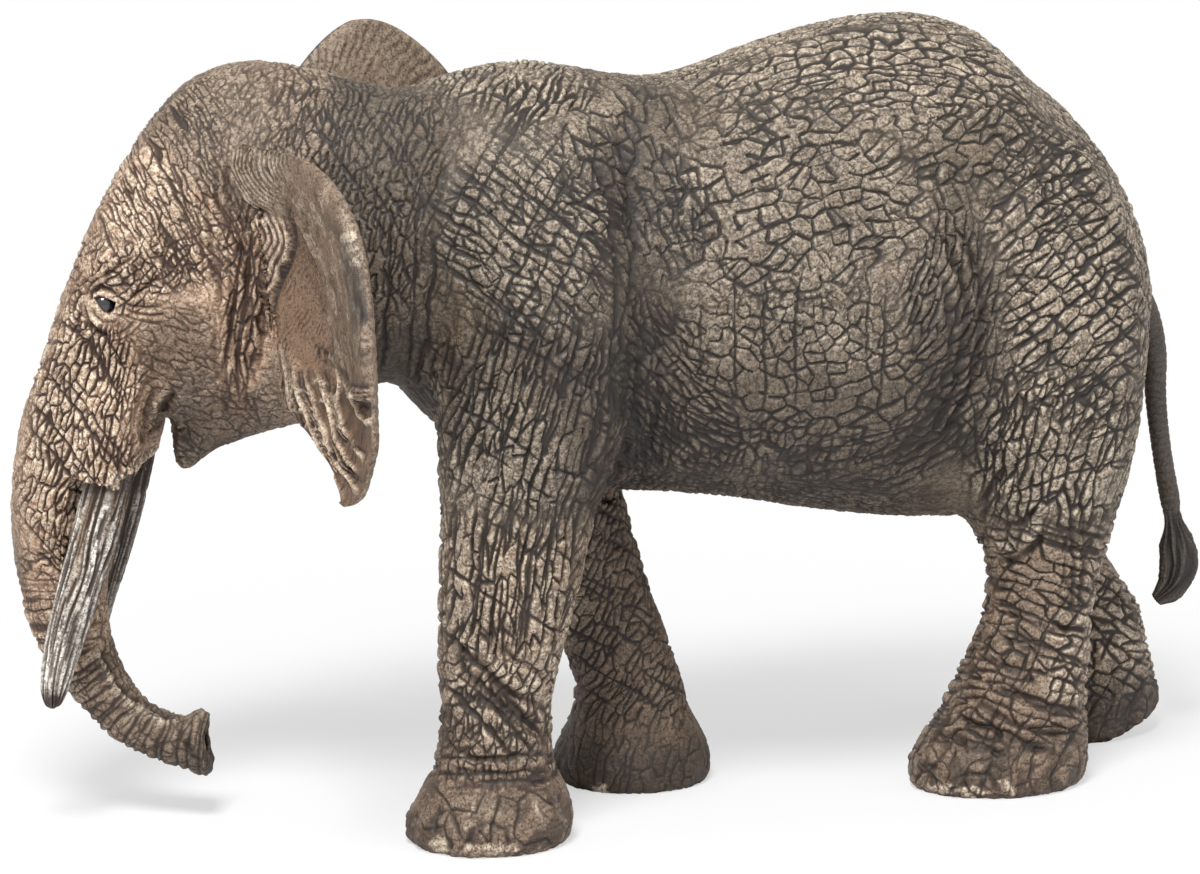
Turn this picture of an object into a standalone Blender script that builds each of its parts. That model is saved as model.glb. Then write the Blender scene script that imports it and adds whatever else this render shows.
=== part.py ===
"""Toy African elephant cow, walking, with her head turned to her right: a hard vinyl figure in pieces.

The torso carries four legs, the head and the tail on pegs. The head carries the ears, the tusks and the eyes.
The figure faces -X and its left side faces -Y. Lengths are in metres. A value whose name ends in shares holds
parts of the named size beside it.
"""

import math

import bmesh
import bpy
import numpy as np
from mathutils import Vector
from mathutils.bvhtree import BVHTree

# Body
BACK_HEIGHT = 0.1063
TORSO_LENGTH = 0.1130
TORSO_WIDTH = 0.0520
TRACK_WIDTH = 0.0225

# Legs: the width of each shaft and the size of its foot
FRONT_LEG_WIDTH = 0.0216
HIND_LEG_WIDTH = 0.0226
NAIL_RISE = 0.00055
NAIL_HEIGHT = 0.0046
NAIL_WIDTH = 0.0042
HEEL_LIFT = 0.0040

# Head and trunk
HEAD_DEPTH = 0.0560
HEAD_WIDTH = 0.0272
HEAD_TURN = math.radians(28)
NOSTRIL_RADIUS = 0.0017
NOSTRIL_DEPTH = 0.0040
EYE_RADIUS = 0.0021
EYE_SHOWN = 0.0008

# Ears
EAR_SPREAD = 0.0355
EAR_THICKNESS = 0.0021
EAR_ROLL = 0.0016
LEFT_EAR_CUP = 0.0042
RIGHT_EAR_CUP = 0.0020
EAR_FOLD_DEPTH = 0.0011
LEFT_EAR_SWEEP = math.radians(24)
RIGHT_EAR_SWEEP = math.radians(33.2)
EAR_TWIST = math.radians(12)
RIGHT_EAR_LIFT = 0.0135

# Tusks and tail
TUSK_RADIUS = 0.0031
TUSK_GROOVE = 0.00022
TAIL_RADIUS = 0.0021
TUFT_WIDTH = 0.0062

# Fits between pieces
CLEARANCE = 0.0003
OVERRUN = 0.0120
LEG_PEG_RADIUS = 0.0045
LEG_PEG_LENGTH = 0.0075
NECK_PEG_RADIUS = 0.0080
NECK_PEG_LENGTH = 0.0090
NECK_SEAM = 0.0085

# Surface of the moulded forms
VOXEL = 0.0009
BLEND_REPEATS = 14
BLEND_STRENGTH = 0.5
TORSO_FACETS_SHARE = 0.031
HEAD_FACETS_SHARE = 0.072

# Torso sections from breast to rump: place along the torso, top, underside and widest height as shares of the
# back height, then width as a share of the torso width
TORSO_SHARES = (
    (0.000, 0.925, 0.575, 0.750, 0.50),
    (0.050, 0.936, 0.515, 0.735, 0.64),
    (0.115, 0.953, 0.460, 0.715, 0.76),
    (0.186, 0.957, 0.425, 0.695, 0.800),
    (0.265, 0.940, 0.410, 0.680, 0.815),
    (0.345, 0.932, 0.403, 0.660, 0.905),
    (0.425, 0.952, 0.390, 0.650, 0.980),
    (0.513, 0.980, 0.370, 0.640, 1.000),
    (0.602, 0.997, 0.353, 0.640, 0.975),
    (0.681, 0.998, 0.342, 0.650, 0.935),
    (0.752, 0.974, 0.340, 0.660, 0.925),
    (0.808, 0.922, 0.350, 0.660, 0.850),
    (0.866, 0.876, 0.370, 0.650, 0.750),
    (0.918, 0.816, 0.410, 0.630, 0.610),
    (0.960, 0.742, 0.470, 0.605, 0.420),
    (0.985, 0.662, 0.550, 0.595, 0.190),
)

# Limb sections from sole to shoulder or hip: height as a share of the back height, length and width as shares
# of the leg width
FRONT_LEG_SHARES = (
    (0.0000, 0.945, 0.905),
    (0.0085, 1.000, 0.965),
    (0.0300, 1.010, 0.975),
    (0.0460, 0.970, 0.945),
    (0.0640, 0.900, 0.890),
    (0.0930, 0.745, 0.765),
    (0.1290, 0.700, 0.715),
    (0.1800, 0.695, 0.705),
    (0.2420, 0.770, 0.760),
    (0.3040, 0.850, 0.815),
    (0.3580, 0.905, 0.850),
    (0.4280, 1.000, 0.905),
    (0.4900, 1.130, 0.985),
    (0.5650, 1.250, 1.055),
    (0.6600, 1.330, 1.100),
    (0.7550, 1.280, 1.010),
    (0.8450, 0.980, 0.740),
    (0.9000, 0.560, 0.380),
)
HIND_LEG_SHARES = (
    (0.0000, 1.060, 0.870),
    (0.0085, 1.115, 0.925),
    (0.0300, 1.130, 0.940),
    (0.0560, 1.080, 0.905),
    (0.1080, 0.900, 0.825),
    (0.1730, 0.750, 0.740),
    (0.2390, 0.665, 0.680),
    (0.2900, 0.730, 0.725),
    (0.3400, 0.910, 0.815),
    (0.3960, 1.140, 0.930),
    (0.4700, 1.340, 1.050),
    (0.5650, 1.470, 1.110),
    (0.6780, 1.420, 1.060),
    (0.7900, 1.060, 0.850),
    (0.8500, 0.620, 0.480),
)

# Where each limb runs: height as a share of the back height, then place along the torso, and distance out
# from the middle as a share of the track width
FRONT_LEFT_PATH_SHARES = (
    (0.000, 0.0815, 0.49),
    (0.090, 0.0885, 0.49),
    (0.180, 0.0885, 0.50),
    (0.300, 0.1030, 0.51),
    (0.430, 0.1190, 0.53),
    (0.565, 0.1360, 0.55),
    (0.755, 0.1600, 0.53),
    (0.900, 0.1730, 0.46),
)
FRONT_RIGHT_PATH_SHARES = (
    (0.000, 0.3520, 0.49),
    (0.130, 0.3460, 0.49),
    (0.185, 0.3270, 0.50),
    (0.240, 0.3020, 0.51),
    (0.345, 0.2590, 0.52),
    (0.490, 0.2150, 0.54),
    (0.660, 0.1800, 0.55),
    (0.900, 0.1700, 0.46),
)
HIND_LEFT_PATH_SHARES = (
    (0.000, 0.7530, 0.50),
    (0.056, 0.7620, 0.50),
    (0.110, 0.7780, 0.50),
    (0.173, 0.7950, 0.51),
    (0.290, 0.8110, 0.53),
    (0.396, 0.7980, 0.55),
    (0.565, 0.7850, 0.57),
    (0.735, 0.7800, 0.55),
    (0.850, 0.7700, 0.48),
)
HIND_RIGHT_PATH_SHARES = (
    (0.000, 0.9720, 0.50),
    (0.050, 0.9780, 0.50),
    (0.150, 0.9850, 0.51),
    (0.190, 0.9750, 0.51),
    (0.232, 0.9500, 0.52),
    (0.300, 0.9050, 0.53),
    (0.396, 0.8600, 0.55),
    (0.565, 0.8150, 0.57),
    (0.735, 0.7950, 0.55),
    (0.850, 0.7750, 0.48),
)
SIDES = ((-1, "left"), (1, "right"))
FRONT_SEAM_SHARE = 0.385
HIND_SEAM_SHARE = 0.315
SEAM_OVERLAP_SHARE = 0.060
ROOM_SHARE = 0.660
FRONT_TOES = 4
HIND_TOES = 3
NAIL_SPACING = math.radians(34)

# The head's own sections fan out from the neck over the brow and down the trunk: front edge and rear edge,
# each as shares of the head depth and of the back height, then width as a share of the head width
HEAD_SHARES = (
    (-0.090, 0.915, 0.030, 0.590, 1.160),
    (0.070, 0.928, 0.110, 0.565, 1.080),
    (0.220, 0.948, 0.215, 0.545, 1.010),
    (0.350, 0.961, 0.330, 0.525, 0.985),
    (0.450, 0.957, 0.430, 0.515, 0.975),
    (0.535, 0.937, 0.520, 0.512, 0.965),
    (0.606, 0.903, 0.575, 0.514, 0.950),
    (0.670, 0.856, 0.605, 0.518, 0.925),
    (0.726, 0.806, 0.620, 0.522, 0.890),
    (0.778, 0.752, 0.630, 0.522, 0.850),
    (0.826, 0.692, 0.638, 0.515, 0.805),
    (0.870, 0.632, 0.648, 0.500, 0.765),
    (0.912, 0.572, 0.660, 0.472, 0.730),
    (0.948, 0.512, 0.676, 0.436, 0.690),
    (0.970, 0.455, 0.696, 0.396, 0.630),
    (0.979, 0.400, 0.718, 0.356, 0.560),
    (0.975, 0.347, 0.738, 0.316, 0.490),
    (0.964, 0.298, 0.750, 0.280, 0.435),
    (0.950, 0.256, 0.750, 0.252, 0.400),
    (0.921, 0.219, 0.738, 0.222, 0.370),
    (0.879, 0.180, 0.717, 0.194, 0.345),
    (0.825, 0.143, 0.688, 0.168, 0.320),
    (0.761, 0.109, 0.654, 0.149, 0.300),
    (0.689, 0.083, 0.614, 0.138, 0.285),
    (0.614, 0.069, 0.577, 0.132, 0.278),
    (0.545, 0.060, 0.539, 0.133, 0.290),
    (0.497, 0.059, 0.522, 0.132, 0.262),
)

# Smaller masses of the head: centre as shares of the head depth, of the head width and of the back height,
# then radius as a share of the head width
JAW_SHARES = (
    (0.18, 0.00, 0.620, 0.370),
    (0.32, 0.00, 0.583, 0.310),
    (0.42, 0.00, 0.548, 0.235),
    (0.50, 0.00, 0.512, 0.160),
    (0.545, 0.00, 0.480, 0.100),
    (0.572, 0.00, 0.448, 0.050),
)
TUSK_SHEATH_SHARES = (
    (0.64, 0.20, 0.640, 0.170),
    (0.69, 0.245, 0.560, 0.190),
    (0.725, 0.270, 0.480, 0.180),
    (0.745, 0.285, 0.440, 0.150),
)
CHEEK_SHARES = (
    (0.30, 0.19, 0.780, 0.270),
    (0.46, 0.22, 0.730, 0.270),
    (0.60, 0.20, 0.690, 0.230),
    (0.70, 0.17, 0.655, 0.180),
)
BROW_SHARES = (
    (0.52, 0.20, 0.860, 0.200),
    (0.62, 0.215, 0.790, 0.185),
    (0.70, 0.215, 0.735, 0.165),
)
# The neck inside the torso and the head
NECK_IN_TORSO_SHARE = 0.150
NECK_IN_HEAD_SHARE = 0.310
NECK_TOP_SHARE = 0.930
NECK_DIP_SHARE = 0.022
NECK_BOTTOM_SHARE = 0.525
NECK_WIDTH_SHARE = 0.720
NECK_PEG_HEIGHT_SHARE = 0.750
NECK_STEPS = 13
SKULL_BACK_SECTIONS = 5

EYE_PLACE_SHARES = (0.722, 0.672)

# Tusks in the head's frame: depth, distance out as a share of the head width, height, then radius as a share
# of the tusk radius
TUSK_SHARES = (
    (0.680, 0.235, 0.560, 0.780),
    (0.722, 0.275, 0.480, 0.930),
    (0.755, 0.305, 0.415, 1.000),
    (0.786, 0.335, 0.345, 0.980),
    (0.818, 0.365, 0.270, 0.880),
    (0.843, 0.388, 0.200, 0.650),
    (0.850, 0.397, 0.163, 0.300),
)
TUSK_FLUTES = 9

# Ear outline as seen from the front, from the lobe up to the top: height as a share of the back height, then
# the inner and the outer edge as shares of the ear spread
EAR_SHARES = (
    (0.472, 0.640, 0.730),
    (0.480, 0.500, 0.790),
    (0.496, 0.310, 0.870),
    (0.512, 0.160, 0.930),
    (0.532, 0.030, 0.975),
    (0.556, -0.100, 1.000),
    (0.590, -0.127, 1.000),
    (0.640, -0.127, 0.990),
    (0.692, -0.127, 0.960),
    (0.750, -0.127, 0.890),
    (0.800, -0.127, 0.780),
    (0.837, -0.127, 0.655),
    (0.861, -0.110, 0.540),
    (0.871, 0.020, 0.400),
)
EAR_ROOT_LOW_SHARES = (0.240, 0.445)
EAR_ROOT_HIGH_SHARES = (0.385, 0.430)
EAR_CURL_SHARE = 0.45
EAR_WAVES = 3.0
EAR_LOBE_SHARE = 0.022
# Parts of the ear: the folded lower part and the curled top as shares of its height, then the root, the far
# half that stands away from the head, and the rolled rim as shares of the ear spread
EAR_FOLDED_SHARE = 0.55
EAR_TOP_RIM_SHARE = 0.18
EAR_ROOT_SHARE = 0.35
EAR_LIFTED_SHARE = 0.50
EAR_RIM_SHARE = 0.16
EAR_EDGE_SHARE = 0.25
EAR_END_SHARE = 0.05

# Tail: place along the torso, height as a share of the back height, radius as a share of the tail radius
TAIL_SHARES = (
    (0.900, 0.700, 1.20),
    (0.955, 0.655, 1.25),
    (1.000, 0.600, 1.05),
    (1.022, 0.540, 0.85),
    (1.027, 0.470, 0.72),
    (1.037, 0.400, 0.66),
    (1.050, 0.335, 0.68),
)
TUFT_SHARES = (
    (1.057, 0.300, 0.44),
    (1.062, 0.270, 0.80),
    (1.066, 0.240, 0.95),
    (1.056, 0.212, 0.74),
    (1.034, 0.194, 0.30),
)
TUFT_FLATNESS_SHARE = 0.55

SPINE_NARROWING_SHARE = 0.10

LIMB_SIDES = 32
SECTION_SIDES = 48
BODY_POWER = 2.1
BODY_SPANS = 3
PATH_SPANS = 6
TUSK_SIDES = 18
TUSK_SPANS = 2
TAIL_SIDES = 12
EAR_POINTS = 11
EDGE_POWER = 8


def clear_scene():
    for obj in list(bpy.data.objects):
        bpy.data.objects.remove(obj, do_unlink=True)


def new_collection(name, hidden=False):
    collection = bpy.data.collections.new(name)
    collection.hide_render = hidden
    bpy.context.scene.collection.children.link(collection)
    return collection


def new_empty(name, parent=None):
    empty = bpy.data.objects.new(name, None)
    empty.empty_display_size = BACK_HEIGHT
    empty.parent = parent
    FIGURE.objects.link(empty)
    return empty


def material(name, colour, roughness):
    made = bpy.data.materials.new(name)
    made.use_nodes = True
    shader = made.node_tree.nodes["Principled BSDF"]
    shader.inputs["Base Color"].default_value = (*colour, 1)
    shader.inputs["Roughness"].default_value = roughness
    shader.inputs["Metallic"].default_value = 0
    return made


def smooth_rows(rows, spans):
    """The rows joined by a curve through all of them, with so many spans between each two."""
    rows = np.array(rows, float)
    ends = np.vstack([2 * rows[0] - rows[1], rows, 2 * rows[-1] - rows[-2]])
    found = []
    for before, start, stop, after in zip(ends, ends[1:], ends[2:], ends[3:]):
        for t in np.arange(spans) / spans:
            slope = stop - before
            bend = 2 * before - 5 * start + 4 * stop - after
            turn = 3 * start - before - 3 * stop + after
            found.append(start + (slope * t + bend * t**2 + turn * t**3) / 2)
    found.append(rows[-1])
    return np.array(found)


def follow(rows, heights):
    """The path's other columns at each height."""
    path = smooth_rows(rows, PATH_SPANS)
    columns = [np.interp(heights, path[:, 0], path[:, k]) for k in range(1, path.shape[1])]
    return np.array(columns).T


def power_circle(sides, power):
    angles = np.arange(sides) * 2 * math.pi / sides
    across = np.sign(np.cos(angles)) * np.abs(np.cos(angles)) ** (2 / power)
    along = np.sign(np.sin(angles)) * np.abs(np.sin(angles)) ** (2 / power)
    return across[:, None], along[:, None]


def oval(centre, half_a, half_b, sides, power=2.0):
    across, along = power_circle(sides, power)
    return np.array(centre) + across * np.array(half_a) + along * np.array(half_b)


def put(name, mesh, parent, collection, surface=None):
    obj = bpy.data.objects.new(name, mesh)
    obj.parent = parent
    collection.objects.link(obj)
    if surface:
        mesh.materials.append(surface)
        mesh.shade_smooth()
        mesh.set_sharp_from_angle(angle=math.radians(50))
    else:
        obj.hide_render = True
        obj.display_type = "WIRE"
    return obj


def loft(name, rings, parent, collection, surface=None):
    """A closed solid through the rings, flat at both ends."""
    bm = bmesh.new()
    loops = [[bm.verts.new(point) for point in ring] for ring in rings]
    for low, high in zip(loops, loops[1:]):
        for k in range(len(low)):
            bm.faces.new((low[k - 1], low[k], high[k], high[k - 1]))
    bm.faces.new(loops[0])
    bm.faces.new(loops[-1])
    bmesh.ops.recalc_face_normals(bm, faces=bm.faces)
    mesh = bpy.data.meshes.new(name)
    bm.to_mesh(mesh)
    bm.free()
    return put(name, mesh, parent, collection, surface)


def block(name, low, high, parent):
    bm = bmesh.new()
    bmesh.ops.create_cube(bm, size=1)
    low, high = Vector(low), Vector(high)
    bmesh.ops.scale(bm, vec=high - low, verts=bm.verts)
    bmesh.ops.translate(bm, vec=(low + high) / 2, verts=bm.verts)
    mesh = bpy.data.meshes.new(name)
    bm.to_mesh(mesh)
    bm.free()
    return put(name, mesh, parent, CUTTERS)


def ball(name, centre, radius, parent, collection, surface=None):
    bm = bmesh.new()
    bmesh.ops.create_uvsphere(bm, u_segments=12, v_segments=8, radius=radius)
    bmesh.ops.translate(bm, vec=centre, verts=bm.verts)
    mesh = bpy.data.meshes.new(name)
    bm.to_mesh(mesh)
    bm.free()
    return put(name, mesh, parent, collection, surface)


def boolean(target, tool, operation):
    modifier = target.modifiers.new(operation.lower() + "_" + tool.name, "BOOLEAN")
    modifier.object = tool
    modifier.operation = operation
    modifier.solver = "EXACT"


def blend(target, facets_share):
    """Runs the joined masses into one skin, as modelling clay is smoothed, and thins its facets."""
    remesh = target.modifiers.new("one_skin", "REMESH")
    remesh.mode = "VOXEL"
    remesh.voxel_size = VOXEL
    remesh.use_smooth_shade = True
    smooth = target.modifiers.new("smoothed", "SMOOTH")
    smooth.factor = BLEND_STRENGTH
    smooth.iterations = BLEND_REPEATS
    thin = target.modifiers.new("thinned", "DECIMATE")
    thin.ratio = facets_share


def torso_x(share):
    return (share - 0.5) * TORSO_LENGTH


def torso_ring(row):
    place, top, bottom, widest, width = row
    across, up = power_circle(SECTION_SIDES, BODY_POWER)
    top, bottom, widest = top * BACK_HEIGHT, bottom * BACK_HEIGHT, widest * BACK_HEIGHT
    heights = widest + np.where(up > 0, up * (top - widest), up * (widest - bottom))
    # The flanks draw in towards the spine
    spine = 1 - SPINE_NARROWING_SHARE * np.clip(up, 0, 1) ** 2
    widths = across * spine * width * TORSO_WIDTH / 2
    return np.hstack([np.full_like(heights, torso_x(place)), widths, heights])


def nails(angles, height, toes, leg_width):
    """How far the toenails stand out of the front of the foot at this height."""
    rise = np.zeros_like(angles)
    if height > NAIL_HEIGHT * 2:
        return rise
    half_angle = NAIL_WIDTH / leg_width
    up = (height - NAIL_HEIGHT / 2) / (NAIL_HEIGHT / 2)
    for toe in range(toes):
        middle = math.pi + (toe - (toes - 1) / 2) * NAIL_SPACING
        away = (angles - middle + math.pi) % (2 * math.pi) - math.pi
        rise += np.exp(-((away / half_angle) ** 4) - up**4)
    return NAIL_RISE * rise


def limb_rings(sections, path, leg_width, side, toes=0, low=0.0, high=None, spans=1):
    """Level rings of a limb from the low to the high height, given as shares of the back height."""
    rows = smooth_rows(sections, PATH_SPANS)
    high = high or rows[-1, 0]
    heights = np.unique(np.concatenate([[low, high], smooth_rows(sections, spans)[:, 0]]))
    heights = heights[(heights >= low) & (heights <= high)]
    half_lengths = np.interp(heights, rows[:, 0], rows[:, 1]) * leg_width / 2
    half_widths = np.interp(heights, rows[:, 0], rows[:, 2]) * leg_width / 2
    places = follow(path, heights)
    angles = np.arange(LIMB_SIDES) * 2 * math.pi / LIMB_SIDES
    rings = []
    sizes = zip(heights, half_lengths, half_widths, places)
    for height, half_length, half_width, (place, out) in sizes:
        z = height * BACK_HEIGHT
        rise = nails(angles, z, toes, leg_width)
        x = torso_x(place) + (half_length + rise) * np.cos(angles)
        y = side * out * TRACK_WIDTH + (half_width + rise) * np.sin(angles)
        rings.append(np.stack([x, y, np.full_like(x, z)], axis=1))
    return rings


def peg_rings(centre, radius, low, high):
    rings = []
    for z in (low, high):
        rings.append(oval((*centre, z), (radius, 0, 0), (0, radius, 0), LIMB_SIDES))
    return rings


def place_at(path, share):
    return follow(path, [share])[0]


def heel_wedge(name, path, leg_width, side, lift):
    """What comes off under a heel that is leaving the ground, behind the middle of the sole."""
    place, out = place_at(path, 0)
    slope = math.atan2(lift, leg_width / 2)
    wedge = block(name, (0, -leg_width, -leg_width), (leg_width * 2, leg_width, 0), BODY_POSE)
    wedge.location = (torso_x(place), side * out * TRACK_WIDTH, 0)
    wedge.rotation_euler.y = -slope
    return wedge


def make_leg(name, sections, leg_width, toes, seam_share, path, side, heel_lift=0):
    """The leg below its seam with a peg on top. Its socket and the room below the seam come off the torso."""
    place, out = place_at(path, seam_share)
    centre = (torso_x(place), side * out * TRACK_WIDTH)
    seam = seam_share * BACK_HEIGHT
    rings = limb_rings(sections, path, leg_width, side, toes, high=seam_share)
    rings += peg_rings(centre, LEG_PEG_RADIUS, seam, seam + LEG_PEG_LENGTH)
    leg = loft(name, rings, BODY_POSE, FIGURE, SKIN_DARK if side > 0 else SKIN)
    if heel_lift:
        boolean(leg, heel_wedge(name + "_heel", path, leg_width, side, heel_lift), "DIFFERENCE")
    overlap = seam_share - SEAM_OVERLAP_SHARE
    upper = limb_rings(sections, path, leg_width, side, low=overlap, spans=2)
    mass = loft(name + "_mass", upper, BODY_POSE, CUTTERS)
    room_half = leg_width * ROOM_SHARE
    low = (centre[0] - room_half, centre[1] - leg_width / 2, seam - OVERRUN)
    high = (centre[0] + room_half, centre[1] + leg_width / 2, seam + CLEARANCE)
    room = block(name + "_room", low, high, BODY_POSE)
    socket_top = seam + LEG_PEG_LENGTH + CLEARANCE
    rings = peg_rings(centre, LEG_PEG_RADIUS + CLEARANCE, seam - OVERRUN, socket_top)
    socket = loft(name + "_socket", rings, BODY_POSE, CUTTERS)
    return mass, (room, socket)


def neck_mass():
    """A thick neck that bends from the torso's line into the head's."""
    rings = []
    for step in np.linspace(0, 1, NECK_STEPS):
        turn = HEAD_TURN * min(1, max(0, 2 * step - 0.5))
        ahead = max(0, 2 * step - 1) * NECK_IN_HEAD_SHARE * HEAD_DEPTH
        behind = max(0, 1 - 2 * step) * NECK_IN_TORSO_SHARE * TORSO_LENGTH
        swell = math.sin(math.pi * step)
        top = BACK_HEIGHT * (NECK_TOP_SHARE - NECK_DIP_SHARE * swell)
        bottom = BACK_HEIGHT * (NECK_BOTTOM_SHARE + NECK_DIP_SHARE * 2 * swell)
        x = HEAD_X + behind - ahead * math.cos(HEAD_TURN)
        centre = (x, ahead * math.sin(HEAD_TURN), (top + bottom) / 2)
        half_width = (TORSO_WIDTH * NECK_WIDTH_SHARE * (1 - step) + HEAD_WIDTH * step) / 2
        sideways = (math.sin(turn) * half_width, math.cos(turn) * half_width, 0)
        rings.append(oval(centre, sideways, (0, 0, (top - bottom) / 2), SECTION_SIDES, BODY_POWER))
    return loft("neck_mass", rings, BODY_POSE, CUTTERS)


def head_point(depth, out, height):
    """A point in the head's frame, where the face looks along -X and its left is -Y."""
    return Vector((-depth * HEAD_DEPTH, out, height * BACK_HEIGHT))


def head_rings(last=None):
    """Sections of the head from the neck to the trunk's tip, or to one on the way."""
    rings = []
    for front_s, front_z, rear_s, rear_z, width in smooth_rows(HEAD_SHARES[:last], BODY_SPANS):
        front, rear = head_point(front_s, 0, front_z), head_point(rear_s, 0, rear_z)
        half_width = (0, width * HEAD_WIDTH / 2, 0)
        rings.append(oval((front + rear) / 2, (front - rear) / 2, half_width, SECTION_SIDES, BODY_POWER))
    return rings


def round_path(name, shares, unit, side, collection, surface=None, grow=0, flutes=0, sides=24, spans=4):
    """A round mass along points of the head, square to its path, as tusks, jaw and cheeks have."""
    rows = smooth_rows(shares, spans)
    points = [head_point(row[0], side * row[1] * HEAD_WIDTH, row[2]) for row in rows]
    rings = []
    angles = np.arange(sides) * 2 * math.pi / sides
    for k, (point, row) in enumerate(zip(points, rows)):
        along = (points[min(k + 1, len(points) - 1)] - points[max(k - 1, 0)]).normalized()
        across = along.cross(Vector((0, 1, 0))).normalized()
        other = along.cross(across)
        groove = TUSK_GROOVE * np.cos(flutes * angles) * (flutes > 0)
        radius = (row[3] * unit + grow + groove)[:, None]
        if k in (0, len(points) - 1):
            point = point + along * grow * (1 if k else -1)
        turned = np.cos(angles)[:, None] * np.array(across) + np.sin(angles)[:, None] * np.array(other)
        rings.append(np.array(point) + radius * turned)
    return loft(name, rings, HEAD_POSE, collection, surface)


def nostril_cutter():
    """The opening in the end of the trunk, running in from the tip along its last stretch."""
    rows = smooth_rows(HEAD_SHARES, BODY_SPANS)
    points = [(head_point(row[0], 0, row[1]) + head_point(row[2], 0, row[3])) / 2 for row in rows]
    tip, inward = points[-1], (points[-4] - points[-1]).normalized()
    upright = inward.cross(Vector((0, 1, 0))).normalized()
    depths = (-NOSTRIL_RADIUS, NOSTRIL_DEPTH / 2, NOSTRIL_DEPTH)
    radii = (NOSTRIL_RADIUS, NOSTRIL_RADIUS, NOSTRIL_RADIUS / 2)
    rings = []
    for depth, radius in zip(depths, radii):
        rings.append(oval(tip + inward * depth, upright * radius, (0, radius, 0), TUSK_SIDES))
    return loft("nostril", rings, HEAD_POSE, CUTTERS)


def ear_rings(side, sweep, lift, depth, grow=0):
    """Level slices of the ear from lobe to top, each out along the front face and back along the rear."""
    low_depth, low_out = EAR_ROOT_LOW_SHARES
    high_depth, high_out = EAR_ROOT_HIGH_SHARES
    low_root = head_point(low_depth, side * low_out * HEAD_WIDTH, 0)
    high_root = head_point(high_depth, side * high_out * HEAD_WIDTH, 0)
    rows = smooth_rows(EAR_SHARES, 2)
    lowest, highest = rows[0, 0], rows[-1, 0]
    run = (1 - np.cos(math.pi * np.linspace(0, 1, EAR_POINTS))) / 2
    rings = []
    for height, inner, outer in rows:
        upness = (height - lowest) / (highest - lowest)
        swept = sweep + EAR_TWIST * upness
        outward = Vector((math.sin(swept), side * math.cos(swept), 0))
        forward = Vector((-math.cos(swept), side * math.sin(swept), 0))
        root = low_root.lerp(high_root, upness)
        folded = max(0, 1 - upness / EAR_FOLDED_SHARE)
        outer = outer * (1 + EAR_LOBE_SHARE * folded * math.sin(4 * math.pi * EAR_WAVES * upness))
        reach = inner + (outer - inner) * run
        free = np.clip(reach / EAR_ROOT_SHARE, 0, 1)
        rim = np.clip(1 - (outer - reach) / EAR_RIM_SHARE, 0, 1)
        top_rim = max(0, 1 - (1 - upness) / EAR_TOP_RIM_SHARE)
        roll = np.maximum(rim, top_rim * free)
        hollow = math.sqrt(max(0, math.sin(math.pi * upness)))
        cup = -depth * np.sin(math.pi * np.clip(reach, 0, 1)) * hollow
        curl = depth * EAR_CURL_SHARE * top_rim**2 * free
        wave = EAR_FOLD_DEPTH * folded * free * np.sin(math.pi * EAR_WAVES * (3 * upness + reach / 2))
        middle = cup + curl + wave
        # Both ends of a slice and the lowest and highest slices thin out to a rounded edge
        ends = np.sqrt(np.clip(1 - (2 * run - 1) ** EDGE_POWER, 0, 1))
        ends = EAR_EDGE_SHARE + (1 - EAR_EDGE_SHARE) * ends
        slab = math.sqrt(max(EAR_END_SHARE, 1 - abs(2 * upness - 1) ** EDGE_POWER))
        half = (EAR_THICKNESS + EAR_ROLL * roll**2) / 2 * ends * slab + grow
        rise = lift * np.clip(reach / EAR_LIFTED_SHARE, 0, 1)
        edge = grow * (2 * run - 1)
        front, rear = [], []
        for k in range(EAR_POINTS):
            base = root + outward * (reach[k] * EAR_SPREAD + edge[k])
            base.z = height * BACK_HEIGHT + rise[k]
            front.append(base + forward * (middle[k] + half[k]))
            rear.append(base + forward * (middle[k] - half[k]))
        rings.append(np.array([tuple(point) for point in front + rear[::-1]]))
    # A pocket reaches a little past the lobe and the top
    rings[0][:, 2] -= grow
    rings[-1][:, 2] += grow
    return rings


def tail_rings(grow=0):
    """The tail from its root in the rump to the flattened brush of hair at its tip."""
    rows = [(place, height, radius * TAIL_RADIUS, 1) for place, height, radius in TAIL_SHARES]
    for place, height, width in TUFT_SHARES:
        rows.append((place, height, width * TUFT_WIDTH / 2, TUFT_FLATNESS_SHARE))
    rows = smooth_rows(rows, 2)
    points = [Vector((torso_x(row[0]), 0, row[1] * BACK_HEIGHT)) for row in rows]
    rings = []
    for k, (point, row) in enumerate(zip(points, rows)):
        along = (points[min(k + 1, len(points) - 1)] - points[max(k - 1, 0)]).normalized()
        across = along.cross(Vector((0, 1, 0))).normalized()
        if k == 0:
            point = point - along * grow
        half_width = row[2] * row[3] + grow
        rings.append(oval(point, across * (row[2] + grow), (0, half_width, 0), TAIL_SIDES))
    return rings


def neck_room(name, low_x, high_x):
    low = (low_x, -BACK_HEIGHT, -BACK_HEIGHT)
    return block(name, low, (high_x, BACK_HEIGHT, BACK_HEIGHT * 2), HEAD_POSE)


def neck_peg(name, grow):
    """The peg on the back of the head or, grown by the clearance, its socket in the torso."""
    radius = NECK_PEG_RADIUS + grow
    height = NECK_PEG_HEIGHT_SHARE * BACK_HEIGHT
    rings = []
    for x in (-NECK_SEAM - OVERRUN, NECK_PEG_LENGTH - NECK_SEAM + grow):
        rings.append(oval((x, 0, height), (0, radius, 0), (0, 0, radius), LIMB_SIDES))
    return loft(name, rings, HEAD_POSE, CUTTERS)


def skin_of(obj):
    """The object's surface as it now stands, for finding places on it."""
    bpy.context.view_layer.update()
    solid = obj.evaluated_get(bpy.context.evaluated_depsgraph_get())
    points = [solid.matrix_world @ vertex.co for vertex in solid.data.vertices]
    return BVHTree.FromPolygons(points, [face.vertices for face in solid.data.polygons])


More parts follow.
